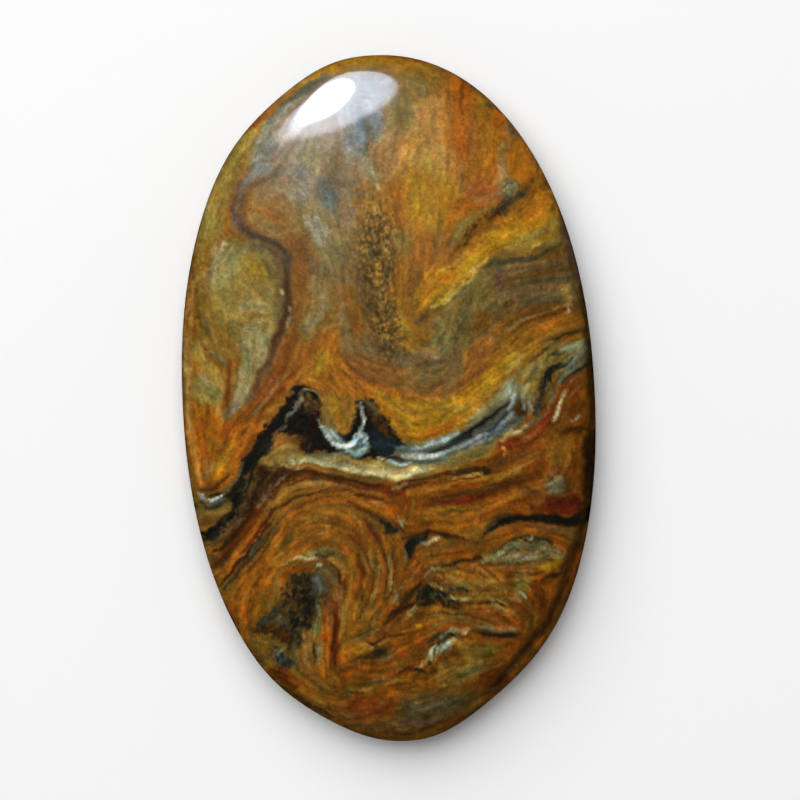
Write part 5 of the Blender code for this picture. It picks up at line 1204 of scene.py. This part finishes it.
LOWER_RIM = [
    vein("straw", 0.85, 2, (0.8, 1.6, 1.6, 1), 388, 598, 378, 613, 371, 628, 356, 640, fray=1),
    vein("umber", 1.7, 1.5, (0.5, 1, 1, 0.6), 384, 600, 374, 616, 364, 630, 352, 638, strength=0.8),
    vein("caramel", 0.95, 2, (1, 2, 2, 1), 396, 622, 386, 628, 378, 634, 366, 638),
    vein("bark", 0.85, 1.5, (0.8, 1.8, 1.8, 1, 0.6), 368, 640, 375, 639.5, 384, 637, 394, 633, 406, 632,
        fray=0.6),
    vein("tan", 0.88, 1.5, (0.6, 1.2, 1.2, 0.6), 356, 643, 366, 644, 377, 643, 390, 637, fray=0.6),
    vein("bright_gold", 0.85, 2.2, (1.2, 2.4, 1.6), 345, 650, 354, 648, 364, 649),
    patch("moss", 0.85, 3.4, 370, 652, 378, 645, 389, 642, 391, 650, 385, 657, 374, 657, fray=2),
    vein("ink", 1.5, 2.4, 1.2, 379, 651, 384, 648, fray=1.4),
    vein("umber", 1.3, 2.2, (0.6, 1.6, 1.2), 352, 658, 362, 656, 373, 655, fray=1.2),
    vein("lichen", 0.76, 1.6, (0.6, 1.2, 1.2, 0.6), 376, 661, 384, 659, 391, 654, 395, 646, fray=0.6),
    vein("tan", 1, 1.8, (0.8, 1.3, 0.8), 345, 660, 358, 664, 372, 666, strength=0.6),
    vein("umber", 1.8, 1.5, (0.4, 0.9, 0.9, 0.4), 348, 666, 366, 670, 386, 668, 404, 661, strength=0.8),
    vein("umber", 1.8, 1.5, (0.4, 0.9, 0.9, 0.4), 340, 676, 362, 680, 386, 678, 408, 674, strength=0.8),
    vein("khaki", 0.92, 2.4, (1, 2, 2, 1.2), 344, 686, 366, 685, 386, 680, 406, 677),
    vein("umber", 1, 1.7, (0.8, 1.7, 1.8, 1.2), 396, 672, 404, 667, 413, 667, 424, 670),
    vein("blush", 0.85, 1.5, (0.5, 1.1, 0.8), 368, 680, 377, 677.5, 384, 676, strength=0.8),
    vein("amber", 0.9, 3.4, (2, 3.4, 3.4), 330, 690, 350, 692, 370, 690),
    vein("umber", 2, 1.5, (0.4, 0.9, 0.9, 0.4), 322, 694, 344, 697, 366, 695, 388, 690, strength=0.7),
    patch("oxblood", 1.15, 6, 350, 702, 378, 697, 394, 704, 384, 714, 358, 712, strength=0.7),
    patch("brown", 0.98, 8, 330, 706, 370, 718, 410, 708, 446, 694, 478, 690, 462, 712, 424, 732, 384, 736,
        345, 724, strength=0.8),
    patch("drab", 0.88, 7, 400, 700, 424, 692, 448, 692, 462, 700, 446, 716, 418, 724, 400, 718),
    vein("bronze", 1.05, 2.6, (1, 2, 2, 1), 402, 702, 418, 698, 434, 694, 450, 690),
    vein("mushroom", 0.7, 2.4, (0.8, 2, 1.8, 0.8), 412, 712, 424, 708, 436, 706, 446, 700, strength=0.7),
    vein("plum", 1.05, 3, (1, 2.4, 2.4, 1), 398, 722, 410, 720, 422, 724, 434, 720),
    vein("umber", 1.4, 2.6, (1, 2, 2, 1), 384, 730, 402, 732, 420, 730, 440, 722),
    vein("peat", 1.2, 4, (1, 3, 3, 2), 440, 716, 458, 706, 474, 697, 492, 688),
    vein("umber", 1.4, 2.6, (1, 2, 2, 1.2), 292, 692, 304, 700, 318, 707, 334, 717, fray=1.4),
    patch("chestnut", 0.98, 4, 268, 666, 288, 670, 300, 680, 294, 688, 278, 680),
    vein("rust", 0.98, 3, (1.5, 3, 2.4), 282, 672, 298, 680, 312, 690),
    vein("umber", 1.6, 1.6, (0.5, 1, 1, 0.5), 298, 668, 310, 678, 324, 688, 342, 692, strength=0.8),
    # Painted shade: dark band along the right and lower right edge, which turns away from the light
    vein("umber", 0.85, 4, (1, 2.4, 3, 3, 3.4, 4, 4.5, 4, 3, 2), 581, 285, 586, 330, 590, 380, 589, 430,
        586, 480, 580, 525, 566, 573, 548, 615, 524, 650, 490, 685, strength=0.75),
    # Painted light: paler bands along the left edge, which faces the light
    vein("sand", 1, 4, (1, 3, 3, 3, 2), 202, 245, 193, 290, 188, 340, 188, 390, 192, 430, strength=0.5),
    vein("tan", 1.1, 3.4, (1, 3, 3, 2), 190, 410, 193, 440, 197, 465, 201, 485, strength=0.5),
]


def pattern_strokes():
    """Every mark of the pattern, in the order in which it is laid down."""
    parts = (BROAD_COLOURS, UPPER_LEFT, UPPER_RIGHT, OLIVE_LOBE, RUST_BANDS, GOLD_SWEEP, GOLD_CUP)
    parts += (LEFT_SEAM, BLACK_SEAM, CREAM_BAND, BLUE_BAND, LOWER_SWIRL, LOWER_RIGHT, LOWER_RIM)
    return [stroke for part in parts for stroke in part]


def colour_settings():
    """One colour setting for each colour of the palette."""
    settings = {}
    for name, colour in PALETTE.items():
        words = name.replace("_", " ")
        settings[name] = FloatVectorProperty(
            name=words.capitalize(),
            description=f"Colour of the {words} parts of the pattern",
            subtype="COLOR_GAMMA",
            default=[channel / 255 for channel in colour],
            min=0,
            max=1,
        )
    return settings


class StonePalette(bpy.types.PropertyGroup):
    """The colours that the pattern of the stone is made of."""

    __annotations__ = colour_settings()


class StoneShape(bpy.types.PropertyGroup):
    """Section of the stone and the fineness of its mesh."""

    girdle_top: FloatProperty(
        name="Girdle top",
        description="Height of the upright girdle",
        default=0.27 * STONE_HEIGHT,
        unit="LENGTH",
    )
    bevel_height: FloatProperty(
        name="Bevel height",
        description="Height of the bevel that breaks the lower edge",
        default=0.06 * STONE_HEIGHT,
        unit="LENGTH",
    )
    bevel_inset: FloatProperty(
        name="Bevel inset",
        description="How far the bevel draws in the back, as a share of half the width",
        default=0.026,
        subtype="FACTOR",
    )
    dome_power: FloatProperty(
        name="Dome fullness",
        description="Power of the dome's section; 2 is an ellipse",
        default=2.15,
    )
    dome_rings: IntProperty(
        name="Dome rings",
        description="Rings of points from the middle line of the crown to the girdle",
        default=117,
    )
    point_spacing: FloatProperty(
        name="Point spacing",
        description="Distance between the points of a ring",
        default=0.000112,
        precision=6,
        unit="LENGTH",
    )


class StoneLook(bpy.types.PropertyGroup):
    """Grain and polish of the stone."""

    speck_size: FloatProperty(
        name="Speck size",
        description="Size of the finest specks in the stone",
        default=0.00016,
        unit="LENGTH",
    )
    speck_contrast: FloatProperty(
        name="Speck contrast",
        description="How much the specks differ in lightness",
        default=0.9,
        subtype="FACTOR",
    )
    speck_relief: FloatProperty(
        name="Speck relief",
        description="Height of the very shallow bump that the specks leave",
        default=0.00004,
        precision=6,
        unit="LENGTH",
    )
    base_roughness: FloatProperty(
        name="Fibre roughness",
        description="Roughness of the silky fibres below the polish",
        default=0.45,
        subtype="FACTOR",
    )
    roughness_change: FloatProperty(
        name="Change of roughness",
        description="How far the specks change the roughness of the fibres, up and down",
        default=0.08,
        subtype="FACTOR",
    )
    base_shine: FloatProperty(
        name="Shine below the polish",
        description="How much light the fibres mirror themselves",
        default=0.06,
        subtype="FACTOR",
    )
    polish_roughness: FloatProperty(
        name="Polish roughness",
        description="Roughness of the polished surface",
        default=0.09,
        subtype="FACTOR",
    )
    refraction: FloatProperty(
        name="Refraction",
        description="Index of refraction of quartz",
        default=1.54,
    )


class StageSettings(bpy.types.PropertyGroup):
    """Camera and floor."""

    camera_height: FloatProperty(
        name="Camera height",
        description="Distance from the girdle up to the camera",
        default=0.35,
        unit="LENGTH",
    )
    floor_size: FloatProperty(
        name="Floor size",
        description="Length of each side of the floor",
        default=1.2,
        unit="LENGTH",
    )
    floor_gap: FloatProperty(
        name="Floor gap",
        description="How far the floor lies below the stone, so that the two don't touch",
        default=0.00002,
        precision=6,
        unit="LENGTH",
    )
    floor_colour: FloatVectorProperty(
        name="Floor colour",
        description="Pale plain floor",
        subtype="COLOR",
        default=(0.95, 0.95, 0.95),
    )


def outline_radius(angle):
    """Distance from the centre to the edge of the stone, for an array of directions."""
    across = np.abs(np.cos(angle)) / (OVAL_WIDTH / 2)
    along = np.abs(np.sin(angle)) / (OVAL_LENGTH / 2)
    closeness = (across**OVAL_POWER + along**OVAL_POWER) ** (FLAT_EDGE_SHARPNESS / OVAL_POWER)
    for facing, share in FLATS:
        towards = np.maximum(np.cos(angle - facing), 0)
        closeness += (towards / (share * OVAL_LENGTH / 2)) ** FLAT_EDGE_SHARPNESS
    return closeness ** (-1 / FLAT_EDGE_SHARPNESS)


def outline(turn):
    """Points on the edge of the stone, evenly spaced, at shares of the way round it."""
    angle = 2 * np.pi * np.arange(OUTLINE_POINTS) / OUTLINE_POINTS
    radius = outline_radius(angle)
    points = np.column_stack([radius * np.cos(angle), radius * np.sin(angle)])
    points -= (points.min(0) + points.max(0)) / 2
    points = np.concatenate([points, points[:1]])
    way = np.concatenate([[0], np.cumsum(np.hypot(*np.diff(points, axis=0).T))])
    shares = way / way[-1]
    return np.column_stack([np.interp(turn, shares, points[:, axis]) for axis in (0, 1)])


def plan_share(plan):
    """How far out from the centre each point lies in plan: 0 at the centre, 1 at the edge."""
    edge = outline(np.arange(OUTLINE_POINTS) / OUTLINE_POINTS)
    facing = np.arctan2(edge[:, 1], edge[:, 0])
    order = np.argsort(facing)
    towards = np.arctan2(plan[:, 1], plan[:, 0])
    reach = np.interp(towards, facing[order], np.hypot(*edge[order].T), period=2 * np.pi)
    return np.minimum(np.hypot(*plan.T) / reach, 1)


def dome_heights(share, shape):
    """Height of the dome above points in plan, by how far out from the centre they lie."""
    rise = (1 - share**shape.dome_power) ** (1 / shape.dome_power)
    return shape.girdle_top + rise * (STONE_HEIGHT - shape.girdle_top)


def stone_rings(shape):
    """Rings from the crown to the middle of the back.

    Each is how far out it stands, from the middle line at 0 to the edge at 1, a share by which
    it is drawn in, and its height, which is None on the dome.
    """
    inner = int(shape.dome_rings * FLATTER_RINGS)
    outer = shape.dome_rings - inner
    rings = [(FLATTER_PART * k / inner, 1.0, None) for k in range(inner)]
    for k in range(outer + 1):
        step = math.sin(math.pi / 2 * k / outer)
        rings.append((FLATTER_PART + (1 - FLATTER_PART) * step, 1.0, None))
    for k in range(1, GIRDLE_STRIPS + 1):
        drop = (shape.girdle_top - shape.bevel_height) * k / GIRDLE_STRIPS
        rings.append((1.0, 1.0, shape.girdle_top - drop))
    for k in range(1, BEVEL_STRIPS + 1):
        turn = math.pi / 2 * k / BEVEL_STRIPS
        inset = shape.bevel_inset * (1 - math.cos(turn))
        rings.append((1.0, 1 - inset, max(shape.bevel_height * (1 - math.sin(turn)), 0.0)))
    back = shape.dome_rings // BACK_COARSENESS
    rings += [(k / back, 1 - shape.bevel_inset, 0.0) for k in range(back - 1, -1, -1)]
    return rings


def ring_points(out, spacing):
    """Points of one ring in plan, and how far round each stands, from 0 to 1."""
    edge = outline(np.arange(OUTLINE_POINTS) / OUTLINE_POINTS)
    edge_length = np.hypot(*(edge - np.roll(edge, 1, 0)).T).sum()
    around = 4 * MIDDLE_LINE * (1 - out) + edge_length * out
    count = 4 * max(round(around / spacing / 4), 2)
    turn = np.arange(count) / count
    along = MIDDLE_LINE * 2 / np.pi * np.arcsin(np.sin(2 * np.pi * turn))
    middle = np.column_stack([np.zeros(count), along])
    return middle * (1 - out) + outline(turn) * out, turn


def ring_faces(first, turns, other_first, other_turns):
    """Triangles that join two rings, each edge to the nearest point of the other ring."""
    count, other_count = len(turns), len(other_turns)
    step, other_step = np.arange(count), np.arange(other_count)
    middles, other_middles = turns + 0.5 / count, other_turns + 0.5 / other_count
    facing = np.searchsorted(other_middles, middles) % other_count
    fan = [first + step, other_first + facing, first + (step + 1) % count]
    facing = np.searchsorted(middles, other_middles, side="right") % count
    other_next = (other_step + 1) % other_count
    other_fan = [first + facing, other_first + other_step, other_first + other_next]
    return np.concatenate([np.stack(fan, 1), np.stack(other_fan, 1)])


def merged(first, count):
    """The points of a ring that lies flat on the middle line, each once for both of its sides."""
    step = np.arange(count)
    other = (count // 2 - step) % count
    return first + np.minimum(step, other)


def pattern_places(places, crown):
    """Where in the pattern each point of the surface lies, in pixels.

    The bands run down through the stone at a slant, so the sides and the back carry them on.
    crown is the height of the dome straight above each point.
    """
    depth = np.maximum(crown - places[:, 2], 0)
    across = (places[:, 0] + SLANT_RIGHT * depth) * (1 - NARROWING * depth)
    along = (places[:, 1] - SLANT_DOWN * depth) * (1 - NARROWING * depth)
    right = across * math.cos(PHOTO_TURN) - along * math.sin(PHOTO_TURN)
    up = across * math.sin(PHOTO_TURN) + along * math.cos(PHOTO_TURN)
    return PHOTO_CENTRE[0] + right / METRES_PER_PIXEL, PHOTO_CENTRE[1] - up / METRES_PER_PIXEL


def linear(colour):
    """sRGB values as linear ones."""
    return np.where(colour <= 0.04045, colour / 12.92, ((colour + 0.055) / 1.055) ** 2.4)


def colour_mesh(mesh, x, y, palette):
    """Lay the pattern on the points of the mesh as a colour attribute."""
    colours = {name: np.array(getattr(palette, name)) for name in PALETTE}
    paint = linear(painted(pattern_strokes(), x, y, colours))
    layer = mesh.attributes.new("pattern", "FLOAT_COLOR", "POINT")
    layer.data.foreach_set("color", np.column_stack([paint, np.ones(len(x))]).ravel())


def bake_map(mesh, places, share, faces, shape):
    """Spread the surface flat: the dome with its sides on the left, the back beside it."""
    plan = places[:, :2]
    away = plan / np.maximum(np.hypot(*plan.T), 1e-9)[:, None]
    side = np.where(share == 1, shape.girdle_top - places[:, 2], 0)
    front = plan + away * (EDGE_SPREAD * share**EDGE_SPREAD_POWER + side)[:, None]
    low, high = front.min(0), front.max(0)
    scale = FACE_PART / (high - low)[1]
    front = (front - low) * scale + FACE_START
    back = (plan - plan.min(0)) * scale * BACK_SIZE
    back = back + [front[:, 0].max() + BACK_GAP, BACK_START]
    is_back = (places[faces, 2] == 0).all(1)
    spread = np.where(is_back[:, None, None], back[faces], front[faces])
    layer = mesh.uv_layers.new(name="OFBake")
    layer.data.foreach_set("uv", spread.ravel())


def stone_mesh(shape, palette):
    """The whole closed surface of the stone, with its pattern."""
    places, shares, faces, rings = [], [], [], []
    start = 0
    for out, drawn_in, height in stone_rings(shape):
        spacing = shape.point_spacing * (1 if height is None or out == 1 else BACK_SPACING)
        plan, turns = ring_points(out, spacing)
        share = np.ones(len(plan)) if out == 1 else plan_share(plan)
        level = dome_heights(share, shape) if height is None else np.full(len(plan), height)
        places.append(np.column_stack([plan * drawn_in, level]))
        shares.append(share)
        if rings:
            faces.append(ring_faces(*rings[-1], start, turns))
        rings.append((start, turns))
        start += len(turns)
    places, shares, faces = (np.concatenate(part) for part in (places, shares, faces))
    kept = np.arange(start)
    for first, turns in (rings[0], rings[-1]):
        kept[first : first + len(turns)] = merged(first, len(turns))
    used, faces = np.unique(kept[faces], return_inverse=True)
    faces = faces.reshape(-1, 3)
    faces = faces[(faces != np.roll(faces, 1, 1)).all(1)]
    places, shares = places[used], shares[used]
    mesh = bpy.data.meshes.new("cabochon_stone")
    mesh.from_pydata(places.tolist(), [], faces.tolist())
    bake_map(mesh, places, shares, faces, shape)
    colour_mesh(mesh, *pattern_places(places, dome_heights(shares, shape)), palette)
    mesh.shade_smooth()
    return mesh


class Wire:
    """A socket of a material, with arithmetic that adds Math nodes."""

    def __init__(self, recipe, link):
        self.recipe = recipe
        self.link = link

    def maths(self, operation, *values):
        settings = {"operation": operation}
        return self.recipe.add("ShaderNodeMath", settings, dict(enumerate(values)))

    def __add__(self, other):
        return self.maths("ADD", self, other)

    def __radd__(self, other):
        return self.maths("ADD", other, self)

    def __sub__(self, other):
        return self.maths("SUBTRACT", self, other)

    def __rsub__(self, other):
        return self.maths("SUBTRACT", other, self)

    def __mul__(self, other):
        return self.maths("MULTIPLY", self, other)

    def __rmul__(self, other):
        return self.maths("MULTIPLY", other, self)


class Recipe:
    """The nodes of one material."""

    def __init__(self, name):
        self.material = bpy.data.materials.new(name)
        self.material.use_nodes = True
        self.tree = self.material.node_tree
        self.surface = self.tree.nodes["Principled BSDF"]

    def add(self, kind, settings, inputs, output=0):
        """Add a node: first its settings, then the values or links of its sockets."""
        node = self.tree.nodes.new(kind)
        for name, value in settings.items():
            setattr(node, name, value)
        for name, value in inputs.items():
            self.feed(node.inputs[name], value)
        return Wire(self, node.outputs[output])

    def feed(self, socket, value):
        """Give a socket a value or a link."""
        if isinstance(value, Wire):
            self.tree.links.new(value.link, socket)
        else:
            socket.default_value = value

    def set_surface(self, inputs):
        """Give the sockets of the surface their values and links."""
        for name, value in inputs.items():
            self.feed(self.surface.inputs[name], value)

    def stretch(self, value, low, high, to_low, to_high):
        """A value carried smoothly from one range to another, and kept within it."""
        settings = {"interpolation_type": "SMOOTHSTEP"}
        inputs = {0: value, 1: low, 2: high, 3: to_low, 4: to_high}
        return self.add("ShaderNodeMapRange", settings, inputs)

    def noise(self, size, detail, roughness):
        """Noise from 0 to 1 with lumps of one size in metres, fixed to the stone."""
        where = self.add("ShaderNodeTexCoord", {}, {}, "Object")
        inputs = {"Scale": 1 / size, "Detail": detail, "Roughness": roughness, "Vector": where}
        return self.add("ShaderNodeTexNoise", {}, inputs)


def stone_material(look):
    """Polished stone: a clear polish over silky fibres."""
    recipe = Recipe("pietersite")
    pattern = recipe.add("ShaderNodeAttribute", {"attribute_name": "pattern"}, {}, "Color")
    fine = recipe.noise(look.speck_size, detail=1.0, roughness=0.6)
    coarse = recipe.noise(look.speck_size * COARSER, detail=1.0, roughness=0.5)
    light = 1 + (fine - NOISE_AVERAGE) * look.speck_contrast
    light = light + (coarse - NOISE_AVERAGE) * (look.speck_contrast * FAINTER)
    lit = recipe.add("ShaderNodeVectorMath", {"operation": "SCALE"}, {0: pattern, "Scale": light})
    smoothest = look.base_roughness - look.roughness_change
    roughest = look.base_roughness + look.roughness_change
    bump = {"Strength": BUMP_STRENGTH, "Distance": look.speck_relief, "Height": fine}
    recipe.set_surface(
        {
            "Base Color": lit,
            "Roughness": recipe.stretch(fine, *NOISE_RANGE, smoothest, roughest),
            "Normal": recipe.add("ShaderNodeBump", {}, bump),
            "Specular IOR Level": look.base_shine,
            "IOR": look.refraction,
            "Coat Weight": 1.0,
            "Coat Roughness": look.polish_roughness,
            "Coat IOR": look.refraction,
        }
    )
    return recipe.material


class CABOCHON_OT_stone(bpy.types.Operator):
    """Make the polished stone"""

    bl_idname = "cabochon.stone"
    bl_label = "Stone"

    def execute(self, context):
        scene = context.scene
        mesh = stone_mesh(scene.stone_shape, scene.stone_palette)
        stone = bpy.data.objects.new("cabochon_stone", mesh)
        scene.collection.objects.link(stone)
        mesh.materials.append(stone_material(scene.stone_look))
        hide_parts("cabochon")
        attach(stone, "root")
        return {"FINISHED"}


def make_floor(scene):
    """A plain pale floor that the reflections and the soft light leave out."""
    stage = scene.cabochon_stage
    half = stage.floor_size / 2
    corners = [(-half, -half, 0), (half, -half, 0), (half, half, 0), (-half, half, 0)]
    mesh = bpy.data.meshes.new("floor")
    mesh.from_pydata(corners, [], [(0, 1, 2, 3)])
    paint = Recipe("floor")
    colour = (*stage.floor_colour, 1)
    paint.set_surface({"Base Color": colour, "Roughness": 0.9, "Specular IOR Level": 0.0})
    mesh.materials.append(paint.material)
    floor = bpy.data.objects.new("floor", mesh)
    floor.location.z = -stage.floor_gap
    floor.visible_glossy = False
    floor.visible_diffuse = False
    scene.collection.objects.link(floor)


def make_camera(scene):
    """A camera straight above the stone that frames it as the photograph does."""
    height = scene.cabochon_stage.camera_height
    right = (PHOTO_SIZE / 2 - PHOTO_CENTRE[0]) * METRES_PER_PIXEL
    up = (PHOTO_CENTRE[1] - PHOTO_SIZE / 2) * METRES_PER_PIXEL
    turned = Matrix.Rotation(-PHOTO_TURN, 3, "Z") @ Vector((right, up, 0))
    lens = bpy.data.cameras.new("camera")
    lens.lens = lens.sensor_width * height / (PHOTO_SIZE * METRES_PER_PIXEL)
    camera = bpy.data.objects.new("camera", lens)
    camera.location = (turned.x, turned.y, scene.stone_shape.girdle_top + height)
    camera.rotation_euler = (0, 0, -PHOTO_TURN)
    scene.collection.objects.link(camera)
    scene.camera = camera


def light_axes(away):
    """The side, up and away directions of a light that faces the stone."""
    side = Vector((0, 0, 1)).cross(away).normalized()
    return side, away.cross(side), away


def add_light(scene, name, place, size, radiance, colour=WHITE, **seen):
    """A soft oval light that faces the stone, as bright all over as its radiance says.

    seen says which rays it lights.
    """
    data = bpy.data.lights.new(name, "AREA")
    data.shape = "ELLIPSE"
    data.size, data.size_y = size
    data.energy = radiance * math.pi * (math.pi / 4 * size[0] * size[1])
    data.color = colour
    light = bpy.data.objects.new(name, data)
    axes = Matrix(light_axes(Vector(place).normalized())).transposed()
    light.matrix_world = Matrix.Translation(place) @ axes.to_4x4()
    for ray, value in seen.items():
        setattr(light, "visible_" + ray, value)
    scene.collection.objects.link(light)


def make_lights(scene):
    """The window that the stone mirrors, a soft fill and an even pale sky."""
    flat = math.cos(WINDOW_ELEVATION)
    north, west = flat * math.cos(WINDOW_AZIMUTH), flat * math.sin(WINDOW_AZIMUTH)
    side, up, away = light_axes(Vector((-west, north, math.sin(WINDOW_ELEVATION))))
    for name, (distance, sideways, upwards, size, radiance, colour) in WINDOW_LIGHTS.items():
        place = away * distance + side * sideways + up * upwards
        add_light(scene, name, place, size, radiance, colour, diffuse=False)
    add_light(scene, "fill", FILL_PLACE, FILL_SIZE, FILL_RADIANCE, glossy=False)
    sky = bpy.data.worlds.new("studio")
    sky.use_nodes = True
    background = sky.node_tree.nodes["Background"]
    background.inputs["Color"].default_value = (*WHITE, 1)
    background.inputs["Strength"].default_value = SKY_STRENGTH
    sky.cycles_visibility.glossy = False
    scene.world = sky


class CABOCHON_OT_stage(bpy.types.Operator):
    """Make the floor, the lights and the camera"""

    bl_idname = "cabochon.stage"
    bl_label = "Stage"

    def execute(self, context):
        make_floor(context.scene)
        make_camera(context.scene)
        make_lights(context.scene)
        context.scene.view_settings.view_transform = "Standard"
        return {"FINISHED"}


class CABOCHON_PT_panel(bpy.types.Panel):
    """Settings and steps of the cabochon"""

    bl_idname = "CABOCHON_PT_panel"
    bl_label = "Cabochon"
    bl_space_type = "VIEW_3D"
    bl_region_type = "UI"
    bl_category = "Cabochon"

    def draw(self, context):
        for group in SETTINGS:
            settings = getattr(context.scene, group)
            for name in settings.bl_rna.properties.keys():
                if name not in ("rna_type", "name"):
                    self.layout.prop(settings, name)
        self.layout.operator(CABOCHON_OT_stone.bl_idname)
        self.layout.operator(CABOCHON_OT_stage.bl_idname)


SETTINGS = {
    "stone_shape": StoneShape,
    "stone_look": StoneLook,
    "stone_palette": StonePalette,
    "cabochon_stage": StageSettings,
}
CLASSES = (*SETTINGS.values(), CABOCHON_OT_stone, CABOCHON_OT_stage, CABOCHON_PT_panel)


def register():
    for each in CLASSES:
        bpy.utils.register_class(each)
    for name, group in SETTINGS.items():
        setattr(bpy.types.Scene, name, PointerProperty(type=group))


def unregister():
    for name in SETTINGS:
        delattr(bpy.types.Scene, name)
    for each in reversed(CLASSES):
        bpy.utils.unregister_class(each)


def main():
    register()
    bpy.ops.cabochon.stone()
    bpy.ops.cabochon.stage()


if __name__ == "__main__":
    main()
